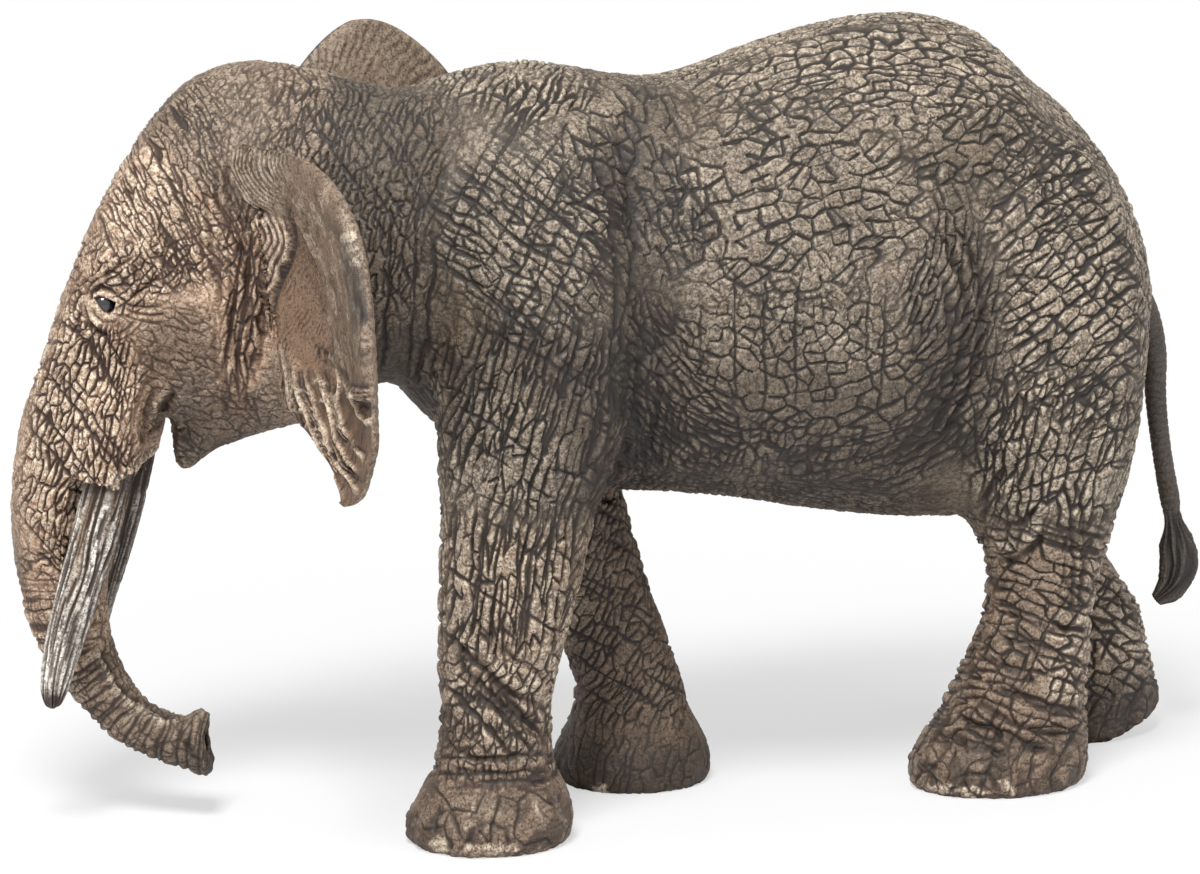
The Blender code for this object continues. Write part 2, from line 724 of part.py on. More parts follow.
def seat_eye(name, side, head_surface):
    """The eye sits in the head's skin, where a line from the side meets it. Returns its socket."""
    depth, height = EYE_PLACE_SHARES
    start = HEAD_POSE.matrix_world @ head_point(depth, side * HEAD_WIDTH, height)
    inward = HEAD_POSE.matrix_world.to_3x3() @ Vector((0, -side, 0))
    place, normal, _, _ = head_surface.ray_cast(start, inward)
    centre = place - normal * (EYE_RADIUS - EYE_SHOWN)
    centre = HEAD_POSE.matrix_world.inverted() @ centre
    ball(name, centre, EYE_RADIUS, HEAD_POSE, FIGURE, EYE_GLOSS)
    return ball(name + "_socket", centre, EYE_RADIUS + CLEARANCE, HEAD_POSE, CUTTERS)


def stand_on_origin():
    """Moves the whole figure so that the middle of its footprint is the origin."""
    bpy.context.view_layer.update()
    graph = bpy.context.evaluated_depsgraph_get()
    points = []
    for obj in FIGURE.objects:
        if obj.type == "MESH":
            solid = obj.evaluated_get(graph)
            points += [solid.matrix_world @ vertex.co for vertex in solid.data.vertices]
    points = np.array([tuple(point) for point in points])
    low, high = points.min(axis=0), points.max(axis=0)
    FIGURE_POSE.location = (-(low[0] + high[0]) / 2, -(low[1] + high[1]) / 2, -low[2])


clear_scene()
FIGURE = new_collection("toy_elephant")
CUTTERS = new_collection("toy_elephant_cutters", hidden=True)
SKIN = material("painted_skin", (0.24, 0.19, 0.14), 0.7)
SKIN_DARK = material("painted_skin_shaded", (0.19, 0.15, 0.11), 0.7)
IVORY = material("painted_tusk", (0.52, 0.47, 0.41), 0.55)
HAIR = material("painted_tail", (0.12, 0.10, 0.085), 0.65)
EYE_GLOSS = material("glossy_eye", (0.10, 0.12, 0.14), 0.12)

FIGURE_POSE = new_empty("figure_pose")
BODY_POSE = new_empty("body_pose", FIGURE_POSE)
HEAD_POSE = new_empty("head_pose", BODY_POSE)
HEAD_X = torso_x(0.035)
HEAD_POSE.location = (HEAD_X, 0, 0)
HEAD_POSE.rotation_euler.z = -HEAD_TURN
bpy.context.view_layer.update()

# Torso with the shoulders, the thighs and half of the neck
torso_sections = [torso_ring(row) for row in smooth_rows(TORSO_SHARES, BODY_SPANS)]
torso = loft("torso", torso_sections, BODY_POSE, FIGURE, SKIN)
neck = neck_mass()
front = (FRONT_LEG_SHARES, FRONT_LEG_WIDTH, FRONT_TOES, FRONT_SEAM_SHARE)
hind = (HIND_LEG_SHARES, HIND_LEG_WIDTH, HIND_TOES, HIND_SEAM_SHARE)
legs = (
    make_leg("front_left_leg", *front, FRONT_LEFT_PATH_SHARES, -1),
    make_leg("front_right_leg", *front, FRONT_RIGHT_PATH_SHARES, 1),
    make_leg("hind_left_leg", *hind, HIND_LEFT_PATH_SHARES, -1),
    make_leg("hind_right_leg", *hind, HIND_RIGHT_PATH_SHARES, 1, HEEL_LIFT),
)
boolean(torso, neck, "UNION")
boolean(torso, loft("skull_back_mass", head_rings(SKULL_BACK_SECTIONS), HEAD_POSE, CUTTERS), "UNION")
for mass, _ in legs:
    boolean(torso, mass, "UNION")
blend(torso, TORSO_FACETS_SHARE)
for _, cutters in legs:
    for cutter in cutters:
        boolean(torso, cutter, "DIFFERENCE")

# Head with the trunk, the jaw and the other half of the neck
head = loft("head", head_rings(), HEAD_POSE, FIGURE, SKIN)
boolean(head, neck, "UNION")
boolean(head, round_path("jaw_mass", JAW_SHARES, HEAD_WIDTH, 1, CUTTERS), "UNION")
for side, word in SIDES:
    for shares, kind in ((TUSK_SHEATH_SHARES, "sheath"), (CHEEK_SHARES, "cheek"), (BROW_SHARES, "brow")):
        mass = round_path(f"{word}_{kind}_mass", shares, HEAD_WIDTH, side, CUTTERS)
        boolean(head, mass, "UNION")
blend(head, HEAD_FACETS_SHARE)
boolean(head, nostril_cutter(), "DIFFERENCE")

# The neck seam is square to the head's line, with the peg on the head
boolean(torso, neck_room("neck_room_in_torso", -NECK_SEAM - BACK_HEIGHT, -NECK_SEAM), "DIFFERENCE")
boolean(head, neck_room("neck_room_in_head", -NECK_SEAM - CLEARANCE, BACK_HEIGHT), "DIFFERENCE")
boolean(head, neck_peg("neck_peg", 0), "UNION")
boolean(torso, neck_peg("neck_socket", CLEARANCE), "DIFFERENCE")

# Tail
tail = loft("tail", tail_rings(), BODY_POSE, FIGURE, HAIR)
boolean(torso, loft("tail_socket", tail_rings(CLEARANCE), BODY_POSE, CUTTERS), "DIFFERENCE")

# Eyes, seated before the head's other pockets are cut
surface_of_head = skin_of(head)
for side, word in SIDES:
    boolean(head, seat_eye(word + "_eye", side, surface_of_head), "DIFFERENCE")

# Ears and tusks, each with its root in a pocket of the head
for side, word in SIDES:
    ear = (side, LEFT_EAR_SWEEP, 0, LEFT_EAR_CUP)
    if side > 0:
        ear = (side, RIGHT_EAR_SWEEP, RIGHT_EAR_LIFT, RIGHT_EAR_CUP)
    loft(word + "_ear", ear_rings(*ear), HEAD_POSE, FIGURE, SKIN)
    pocket = loft(word + "_ear_pocket", ear_rings(*ear, CLEARANCE), HEAD_POSE, CUTTERS)
    boolean(head, pocket, "DIFFERENCE")
    tusk = (TUSK_SHARES, TUSK_RADIUS, side)
    counts = {"sides": TUSK_SIDES, "spans": TUSK_SPANS}
    round_path(word + "_tusk", *tusk, FIGURE, IVORY, flutes=TUSK_FLUTES, **counts)
    pocket = round_path(word + "_tusk_pocket", *tusk, CUTTERS, grow=CLEARANCE + TUSK_GROOVE, **counts)
    boolean(head, pocket, "DIFFERENCE")

stand_on_origin()
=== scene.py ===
"""The painted toy elephant cow: skin, ears, tusks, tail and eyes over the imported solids, with light and camera.

Lengths are in millimetres until a mesh is written. A value named in pixels is a place in the photograph.
"""

import math
from concurrent.futures import ThreadPoolExecutor

import bmesh
import bpy
import numpy as np
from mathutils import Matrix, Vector


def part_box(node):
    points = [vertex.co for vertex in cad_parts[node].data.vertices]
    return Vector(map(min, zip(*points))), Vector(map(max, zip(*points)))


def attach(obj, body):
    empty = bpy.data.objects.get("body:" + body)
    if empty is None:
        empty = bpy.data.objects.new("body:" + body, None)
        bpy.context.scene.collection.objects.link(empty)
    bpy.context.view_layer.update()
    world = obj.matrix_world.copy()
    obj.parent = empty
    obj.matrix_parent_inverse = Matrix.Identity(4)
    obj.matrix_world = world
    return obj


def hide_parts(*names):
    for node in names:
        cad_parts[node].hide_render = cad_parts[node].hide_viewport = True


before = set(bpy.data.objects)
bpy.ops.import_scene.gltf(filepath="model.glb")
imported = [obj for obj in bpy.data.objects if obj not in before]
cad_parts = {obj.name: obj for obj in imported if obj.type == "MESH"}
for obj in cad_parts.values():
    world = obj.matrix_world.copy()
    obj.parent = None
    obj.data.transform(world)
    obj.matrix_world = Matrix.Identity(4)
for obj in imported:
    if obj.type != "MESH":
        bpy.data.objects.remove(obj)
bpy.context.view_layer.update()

# The body's own origin in the frame, and the head's place and turn on it
BODY_AT = np.array([17.5, 2.9, 0.0])
HEAD_X = -52.545
HEAD_TURN = math.radians(28)
BACK_HEIGHT = 106.3
TORSO_LENGTH = 113.0

# Camera
PHOTO_WIDTH = 1200
PHOTO_HEIGHT = 874
AZIMUTH = math.radians(-23.5)
ELEVATION = math.radians(10.3)
DISTANCE = 600.0
LENS = 133.92
SENSOR = 36.0
TARGET = BODY_AT + np.array([-26.5, 0.0, 50.6])

VOXEL = 0.22
SEAM_FILL = 0.2


# Camera geometry

RIGHT = np.array([math.cos(AZIMUTH), math.sin(AZIMUTH), 0.0])
BACK = np.array([
    math.sin(AZIMUTH) * math.cos(ELEVATION),
    -math.cos(AZIMUTH) * math.cos(ELEVATION),
    math.sin(ELEVATION),
])
UP = np.cross(BACK, RIGHT)
EYE_POINT = TARGET + BACK * DISTANCE
PIXELS = PHOTO_WIDTH * LENS / SENSOR


def to_pixels(points):
    """Where points fall in the photograph, and how far they are."""
    away = points - EYE_POINT
    depth = -away @ BACK
    across = PHOTO_WIDTH / 2 + PIXELS * (away @ RIGHT) / depth
    down = PHOTO_HEIGHT / 2 - PIXELS * (away @ UP) / depth
    return across, down, depth


# Meshes as arrays


def read_mesh(mesh):
    """The points of a mesh of quads, in millimetres, and its quads."""
    points = np.empty(len(mesh.vertices) * 3, np.float32)
    mesh.vertices.foreach_get("co", points)
    quads = np.empty(len(mesh.loops), np.int32)
    mesh.loops.foreach_get("vertex_index", quads)
    return points.reshape(-1, 3).astype(np.float64) * 1000, quads.reshape(-1, 4)


def write_mesh(name, points, quads, extra=()):
    """A mesh of quads, and of any extra faces, from points in millimetres."""
    sizes = np.concatenate([np.full(len(quads), 4), [len(face) for face in extra]]).astype(np.int32)
    corners = np.concatenate([quads.ravel(), *extra]).astype(np.int32)
    mesh = bpy.data.meshes.new(name)
    mesh.vertices.add(len(points))
    mesh.vertices.foreach_set("co", (points / 1000).astype(np.float32).ravel())
    mesh.loops.add(len(corners))
    mesh.loops.foreach_set("vertex_index", corners)
    mesh.polygons.add(len(sizes))
    mesh.polygons.foreach_set("loop_start", np.concatenate([[0], np.cumsum(sizes)[:-1]]).astype(np.int32))
    mesh.update(calc_edges=True)
    mesh.validate()
    mesh.shade_smooth()
    return mesh


def put_fields(mesh, fields):
    """Gives each point of a mesh the numbers that its paint is mixed by."""
    for key, values in fields.items():
        mesh.attributes.new(key, "FLOAT", "POINT").data.foreach_set("value", values.astype(np.float32).ravel())


def linked(name, data):
    """A new object, put into the scene."""
    obj = bpy.data.objects.new(name, data)
    bpy.context.scene.collection.objects.link(obj)
    return obj


def place(name, mesh, nodes, slot, material):
    """A finished piece of the object, which stands in for the solids of its nodes."""
    obj = linked(name, mesh)
    mesh.materials.append(material)
    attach(obj, "root")
    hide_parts(*nodes)
    return obj


def evaluated(obj):
    """The mesh of an object with its modifiers applied."""
    bpy.context.view_layer.update()
    return obj.evaluated_get(bpy.context.evaluated_depsgraph_get()).data


# The skin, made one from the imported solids


# How far space is pushed out round an eye while the skin is made, and how soon, in millimetres
SWELL = 4.0
SWELL_REACH = 3.0
# How much of each root stays in its pocket, in millimetres out or up
EAR_ROOT_SHOWN = 0.6
EAR_ROOT_HEIGHT = 70.0
EAR_ROOT_UPNESS = 0.45
TUSK_ROOT_HEIGHT = 56.5
TAIL_ROOT_HEIGHT = 70.0
# The bars inside the seams, round the seams of the legs and along the neck
LEG_CORE_BELOW = 13
LEG_CORE_ABOVE = 4
LEG_CORE_RADIUS = 6.8
NECK_CORE = ((2.0, 0, 79.7), (18.0, 0, 79.7))
NECK_CORE_RADIUS = 10.5
# How far round the first eye the solids are cut finer before space is pushed out
FINE_REACH = 22


def to_head(points):
    """Depth forward from the neck, distance out to the animal's right and height, as the head is turned."""
    away = points - BODY_AT - np.array([HEAD_X, 0, 0])
    c, s = math.cos(HEAD_TURN), math.sin(HEAD_TURN)
    return np.stack([-(away[:, 0] * c - away[:, 1] * s), away[:, 0] * s + away[:, 1] * c, away[:, 2]], axis=1)


def from_head(points):
    """Points in the frame from points as to_head gives them."""
    x, y, z = -points[:, 0], points[:, 1], points[:, 2]
    c, s = math.cos(HEAD_TURN), math.sin(HEAD_TURN)
    return np.stack([x * c + y * s, -x * s + y * c, z], axis=1) + BODY_AT + np.array([HEAD_X, 0, 0])


def add_solid(bm, name, keep=None):
    """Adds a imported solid, or the part of it on the near side of a plane given as point and direction."""
    piece = bmesh.new()
    piece.from_mesh(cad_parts[name].data)
    bmesh.ops.remove_doubles(piece, verts=piece.verts, dist=1e-6)
    if keep:
        point, away = keep
        everything = piece.verts[:] + piece.edges[:] + piece.faces[:]
        cut = bmesh.ops.bisect_plane(piece, geom=everything, plane_co=point, plane_no=away, clear_outer=True)
        edges = [item for item in cut["geom_cut"] if isinstance(item, bmesh.types.BMEdge)]
        bmesh.ops.holes_fill(piece, edges=edges)
    piece.normal_update()
    for vertex in piece.verts:
        vertex.co += vertex.normal * SEAM_FILL / 1000
    mesh = bpy.data.meshes.new(name + "_part")
    piece.to_mesh(mesh)
    piece.free()
    bm.from_mesh(mesh)
    bpy.data.meshes.remove(mesh)


def add_core(bm, low, high, radius):
    """A round bar inside a seam, in millimetres, that swallows the peg and its socket."""
    low, high = Vector(low) / 1000, Vector(high) / 1000
    made = bmesh.ops.create_cone(bm, cap_ends=True, segments=24, radius1=radius / 1000, radius2=radius / 1000,
                                 depth=(high - low).length)
    turn = (high - low).to_track_quat("Z", "Y")
    for vertex in made["verts"]:
        vertex.co = turn @ vertex.co + (low + high) / 2


def outer_shell(points, quads):
    """Only the surface that the lowest point belongs to, which leaves out what is closed in."""
    ends = np.concatenate([quads[:, [0, 1]], quads[:, [1, 2]], quads[:, [2, 3]], quads[:, [3, 0]]])
    ends = ends[np.argsort(ends[:, 0], kind="stable")]
    starts = np.searchsorted(ends[:, 0], np.arange(len(points) + 1))
    beside = ends[:, 1]
    wanted = np.zeros(len(points), bool)
    fresh = np.array([points[:, 2].argmin()])
    wanted[fresh] = True
    while len(fresh):
        counts = starts[fresh + 1] - starts[fresh]
        offsets = np.arange(counts.sum()) - np.repeat(np.cumsum(counts) - counts, counts)
        reached = beside[np.repeat(starts[fresh], counts) + offsets]
        reached = reached[~wanted[reached]]
        wanted[reached] = True
        fresh = np.unique(reached)
    number = np.cumsum(wanted) - 1
    return points[wanted], number[quads[wanted[quads[:, 0]]]]


def fill_pockets(bm):
    """Closes the pockets of ears, tusks and tail with the roots that sit in them."""
    for side, name in ((-1, "left_ear"), (1, "right_ear")):
        height, upness = np.array([EAR_ROOT_HEIGHT]), np.array([EAR_ROOT_UPNESS])
        middle, _ = ear_middle(side, height, np.array([EAR_ROOT_SHOWN]), upness)
        further, _ = ear_middle(side, height, np.array([EAR_ROOT_SHOWN + 4]), upness)
        point, end = from_head(middle)[0], from_head(further)[0]
        add_solid(bm, name, (Vector(point) / 1000, Vector(end - point)))
    for name in ("left_tusk", "right_tusk"):
        add_solid(bm, name, (Vector((0, 0, TUSK_ROOT_HEIGHT / 1000)), Vector((0, 0, -1))))
    add_solid(bm, "tail", (Vector((0, 0, TAIL_ROOT_HEIGHT / 1000)), Vector((0, 0, -1))))
    for name in ("left_eye", "right_eye"):
        add_solid(bm, name)


def eye_middle(side):
    """The middle of an eye as packed."""
    low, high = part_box("left_eye" if side < 0 else "right_eye")
    return (np.array(low) + np.array(high)) * 500


def swollen(points, centre):
    """Space pushed out from a centre, which gives small things near it a finer skin."""
    away = points - centre
    r = np.linalg.norm(away, axis=1, keepdims=True) + 1e-9
    return points + away / r * SWELL * (1 - np.exp(-r / SWELL_REACH))


def unswollen(points, centre):
    """What swollen did to points, undone."""
    away = points - centre
    far = np.linalg.norm(away, axis=1, keepdims=True) + 1e-9
    r = far.copy()
    for _ in range(12):
        miss = r + SWELL * (1 - np.exp(-r / SWELL_REACH)) - far
        r = np.maximum(r - miss / (1 + SWELL / SWELL_REACH * np.exp(-r / SWELL_REACH)), 0)
    return centre + away / far * r


def base_skin():
    """One closed skin over torso, head and legs, as points and quads."""
    bm = bmesh.new()
    for name in SKIN_NODES:
        add_solid(bm, name)
    fill_pockets(bm)
    for name in LEG_NODES:
        x, y = leg_seam_centre(name)
        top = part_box(name)[1].z * 1000
        add_core(bm, (x, y, top - LEG_CORE_BELOW), (x, y, top + LEG_CORE_ABOVE), LEG_CORE_RADIUS)
    add_core(bm, *from_head(np.array(NECK_CORE)), NECK_CORE_RADIUS)
    first = eye_middle(-1)
    second = swollen(eye_middle(1)[None], first)[0]
    near = [edge for edge in bm.edges if np.linalg.norm(np.array(edge.verts[0].co) * 1000 - first) < FINE_REACH]
    bmesh.ops.subdivide_edges(bm, edges=near, cuts=2, use_grid_fill=True)
    points = np.array([vertex.co for vertex in bm.verts]) * 1000
    points = swollen(swollen(points, first), second)
    for vertex, point in zip(bm.verts, points / 1000):
        vertex.co = point
    mesh = bpy.data.meshes.new("joined")
    bm.to_mesh(mesh)
    bm.free()
    obj = linked("joined", mesh)
    remesh = obj.modifiers.new("one_skin", "REMESH")
    remesh.mode = "VOXEL"
    remesh.voxel_size = VOXEL / 1000
    smooth = obj.modifiers.new("smooth", "SMOOTH")
    smooth.factor = 0.5
    smooth.iterations = SMOOTHING
    points, quads = read_mesh(evaluated(obj))
    bpy.data.objects.remove(obj)
    bpy.data.meshes.remove(mesh)
    points, quads = outer_shell(points, quads)
    return unswollen(unswollen(points, second), first), quads


# Noise and cells, for many points at once


def mixed(seed, *places):
    """A hash of places given as whole numbers, as 32 bits each."""
    h = np.zeros(places[0].shape, np.uint32)
    for values, factor in zip(places, (0x8DA6B343, 0xD8163841, 0xCB1AB31F)):
        h ^= values.astype(np.uint32) * np.uint32(factor)
    h ^= np.uint32((seed * 0x9E3779B9) & 0xFFFFFFFF)
    h ^= h >> np.uint32(15)
    h *= np.uint32(0x2C1B3C6D)
    h ^= h >> np.uint32(12)
    h *= np.uint32(0x297A2D39)
    h ^= h >> np.uint32(15)
    return h


def noise(points, size, seed):
    """Smooth noise from -1 to 1, with bumps of about the size."""
    q = points / size
    cell = np.floor(q)
    part = (q - cell).astype(np.float32)
    part = part * part * (3 - 2 * part)
    cell = cell.astype(np.int64)
    total = np.zeros(len(points), np.float32)
    for dx in (0, 1):
        wx = part[:, 0] if dx else 1 - part[:, 0]
        for dy in (0, 1):
            wy = wx * (part[:, 1] if dy else 1 - part[:, 1])
            for dz in (0, 1):
                weight = wy * (part[:, 2] if dz else 1 - part[:, 2])
                corner = mixed(seed, cell[:, 0] + dx, cell[:, 1] + dy, cell[:, 2] + dz)
                value = corner.astype(np.float32) / 2**31 - 1
                total += weight * value
    return total


def noise3(points, size, seed):
    """Three noises at once, one for each direction."""
    return np.stack([noise(points, size, seed + k) for k in range(3)], axis=1)


# How many points one call works on
PART_SIZE = 30000


def in_parts(work, *arrays):
    """Does point-by-point work on parts of the points side by side, and joins what it gives."""
    parts = np.array_split(np.arange(len(arrays[0])), max(1, len(arrays[0]) // PART_SIZE))
    with ThreadPoolExecutor(4) as pool:
        results = list(pool.map(lambda part: work(*(array[part] for array in arrays)), parts))
    return [np.concatenate(column) for column in zip(*results)]


def step(low, high, value):
    """Rises smoothly from 0 to 1 between low and high."""
    t = np.clip((value - low) / (high - low), 0, 1)
    return t * t * (3 - 2 * t)


def off_line(t):
    """How far numbers are from the nearest whole one."""
    return np.abs(t - np.round(t))


def over(wash, more):
    """A wash with another laid over it."""
    return 1 - (1 - wash) * (1 - more)


def crack(distance, width):
    """1 in the middle of a crack and 0 at its edges."""
    t = np.clip(1 - distance / width, 0, 1)
    return t * t * (3 - 2 * t)


# In pixels
OVAL_WANDER = 26.0


def wandering(f):
    """Pixel coordinates bent a little, so that no edge of an oval runs smooth."""
    return f["u"] + OVAL_WANDER * noise(f["body"], 9.0, 97), f["v"] + OVAL_WANDER * noise(f["body"], 9.0, 98)


def blob(px, py, spots):
    """How far points lie inside any of some soft ovals: centre, half width, half height and tilt, in pixels."""
    total = np.zeros(len(px), np.float32)
    for cx, cy, rx, ry, tilt in spots:
        c, s = math.cos(math.radians(tilt)), math.sin(math.radians(tilt))
        x, y = px - cx, py - cy
        r = np.hypot((x * c + y * s) / rx, (-x * s + y * c) / ry)
        total = np.maximum(total, 1 - step(0.65, 1.25, r))
    return total


def line_distance(px, py, points):
    """The distance in pixels to a line through points, and how far along it, from 0 to 1."""
    best = np.full(len(px), 1e9, np.float32)
    along = np.zeros(len(px), np.float32)
    points = np.array(points, float)
    for k, (a, b) in enumerate(zip(points, points[1:])):
        way = b - a
        t = np.clip(((px - a[0]) * way[0] + (py - a[1]) * way[1]) / (way @ way), 0, 1)
        d = np.hypot(px - a[0] - t * way[0], py - a[1] - t * way[1])
        near = d < best
        best[near] = d[near]
        along[near] = ((k + t) / (len(points) - 1))[near]
    return best, along


def vertex_normals(points, quads):
    """The outward direction of the surface at each point."""
    a, b, c, d = (points[quads[:, k]] for k in range(4))
    face = np.cross(c - a, d - b)
    total = np.zeros_like(points)
    for axis in range(3):
        for k in range(4):
            total[:, axis] += np.bincount(quads[:, k], weights=face[:, axis], minlength=len(points))
    return total / (np.linalg.norm(total, axis=1, keepdims=True) + 1e-12)


# Where each piece of skin is, and how its surface runs


LEG_NODES = ("front_left_leg", "front_right_leg", "hind_left_leg", "hind_right_leg")
SKIN_NODES = ("torso", "head") + LEG_NODES
# Where each leg meets the torso, in the body's directions
LEG_SEAMS = {
    "front_left_leg": (-43.7, -11.8, 40.9),
    "front_right_leg": (-28.8, 11.8, 40.9),
    "hind_left_leg": (34.9, -12.0, 33.5),
    "hind_right_leg": (44.9, 12.0, 33.5),
}
# How far from a seam's middle the leg reaches, and how far its patterns do above the seam
LEG_REACH = 16.0
LEG_WIDEST = 18
LOWEST_BELLY = 33.0
NECK_SEAM = 8.5
SMOOTHING = 14

# The middle line of the trunk, as depth and height in the head's directions, from the brow to the tip
TRUNK_LINE = (
    (41.0, 62.0), (43.8, 56.0), (45.5, 50.4), (46.6, 45.2), (47.5, 40.2), (48.0, 35.2), (48.0, 30.7), (47.6, 27.0),
    (46.5, 23.4), (44.7, 19.9), (42.4, 16.5), (39.6, 13.7), (36.5, 11.7), (33.3, 10.7), (30.4, 10.3), (28.5, 10.2),
)
EYE_AT = np.array([40.4, -10.2, 71.4])


def leg_seam_centre(name):
    """The middle of the seam where a leg meets the torso, in the frame."""
    x, y, _ = LEG_SEAMS[name]
    return x + BODY_AT[0], y + BODY_AT[1]


def on_far_leg(labels):
    """Which points are on one of the two legs of the far side."""
    return (labels == SKIN_NODES.index("front_right_leg")) | (labels == SKIN_NODES.index("hind_right_leg"))


def split_labels(centres):
    """The node each face belongs to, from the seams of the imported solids."""
    labels = np.zeros(len(centres), np.int8)
    head = to_head(centres)
    labels[head[:, 0] > NECK_SEAM] = 1
    away = centres - BODY_AT
    for k, name in enumerate(LEG_NODES):
        x, y, z = LEG_SEAMS[name]
        near = (np.abs(away[:, 0] - x) < LEG_REACH) & (away[:, 1] * y > 0) & (away[:, 2] < z)
        low = (away[:, 2] < LOWEST_BELLY) & (away[:, 1] * y > 0) & (away[:, 0] * (1 if k > 1 else -1) > 0)
        labels[(near | low) & (head[:, 0] <= NECK_SEAM)] = k + 2
    return labels


def skin_fields(points, normals):
    """What the carving needs to know about each point of the skin."""
    f = {}
    body = points - BODY_AT
    head = to_head(points)
    f["body"], f["head"] = body, head
    f["labels"] = split_labels(points)
    labels = f["labels"]
    in_head = step(-1.0, 5.0, head[:, 0] - NECK_SEAM)
    f["in_head"] = in_head
    f["is_leg"] = labels > 1
    # Each side is looked at as if it were the near one
    flipped = body * np.where(body[:, 1:2] > 0, np.array([1, -1, 1]), 1)
    u, v, _ = to_pixels(flipped + BODY_AT)
    flipped = head * np.where(head[:, 1:2] > 0, np.array([1, -1, 1]), 1)
    hu, hv, _ = to_pixels(from_head(flipped))
    f["u"] = (u + (hu - u) * in_head).astype(np.float32)
    f["v"] = (v + (hv - v) * in_head).astype(np.float32)
    u0, v0, _ = to_pixels(points)
    far_leg = on_far_leg(labels)
    f["u"][far_leg], f["v"][far_leg] = u0[far_leg], v0[far_leg]
    f["out"] = np.abs(normals[:, 1])
    # Along the trunk, in millimetres from its start, and how far forward of its middle line
    line = np.array(TRUNK_LINE)
    lengths = np.concatenate([[0], np.cumsum(np.linalg.norm(np.diff(line, axis=0), axis=1))])
    d, along = line_distance(head[:, 0].astype(np.float32), head[:, 2].astype(np.float32), line)
    place = along * (len(line) - 1)
    low = np.clip(place.astype(int), 0, len(line) - 2)
    f["trunk"] = (lengths[low] + (place - low) * (lengths[low + 1] - lengths[low])).astype(np.float32)
    way = line[low + 1] - line[low]
    side = (head[:, 0] - line[low, 0]) * way[:, 1] - (head[:, 2] - line[low, 1]) * way[:, 0]
    f["fore"] = np.where(side < 0, d, -d).astype(np.float32)
    f["eye"] = head - np.array([EYE_AT[0], 0, EYE_AT[2]])
    return f


# Broad forms: centre, half width, half height and tilt in pixels, then how far they stand out in millimetres
TORSO_FORMS = (
    (545, 225, 75, 150, 8, 0.4),
    (652, 300, 34, 190, -4, -0.4),
    (1065, 330, 85, 190, 8, 0.3),
    (930, 130, 60, 45, 0, 0.3),
    (790, 330, 110, 130, 0, 0.3),
)
HEAD_FORMS = (
    (118, 262, 34, 18, -30, 0.7),
    (190, 250, 40, 50, 0, -0.6),
    (160, 360, 36, 34, 0, -0.5),
    (100, 470, 30, 40, 20, 0.4),
    (240, 330, 30, 80, 0, 0.3),
)
# Folds: a line through pixels, its half width in millimetres and how deep it is, or how high if below zero
TORSO_FOLDS = (
    (((452, 85), (446, 170), (436, 250), (432, 330), (418, 392)), 2.2, 0.9),
    (((940, 225), (962, 270), (972, 330), (962, 395), (930, 450), (880, 492)), 2.6, 1.1),
    (((985, 240), (1000, 320), (990, 400), (955, 470)), 3.0, -0.5),
    (((640, 470), (628, 515), (596, 562)), 1.4, 0.8),
    (((655, 488), (740, 497), (820, 510), (900, 520), (945, 524), (985, 575)), 0.9, -0.7),
    (((655, 497), (740, 506), (820, 519), (900, 529), (940, 535), (975, 585)), 1.1, 0.7),
    (((560, 60), (600, 110), (622, 180), (632, 270)), 3.5, 0.5),
)
HEAD_FOLDS = (
    (((168, 345), (160, 380), (153, 410), (147, 445)), 1.6, 1.0),
    (((290, 402), (279, 350), (276, 300), (284, 250), (300, 205)), 1.6, 0.8),
    (((105, 478), (122, 474), (138, 468)), 0.6, -0.5),
    (((250, 385), (262, 330), (262, 260)), 1.2, 0.5),
)
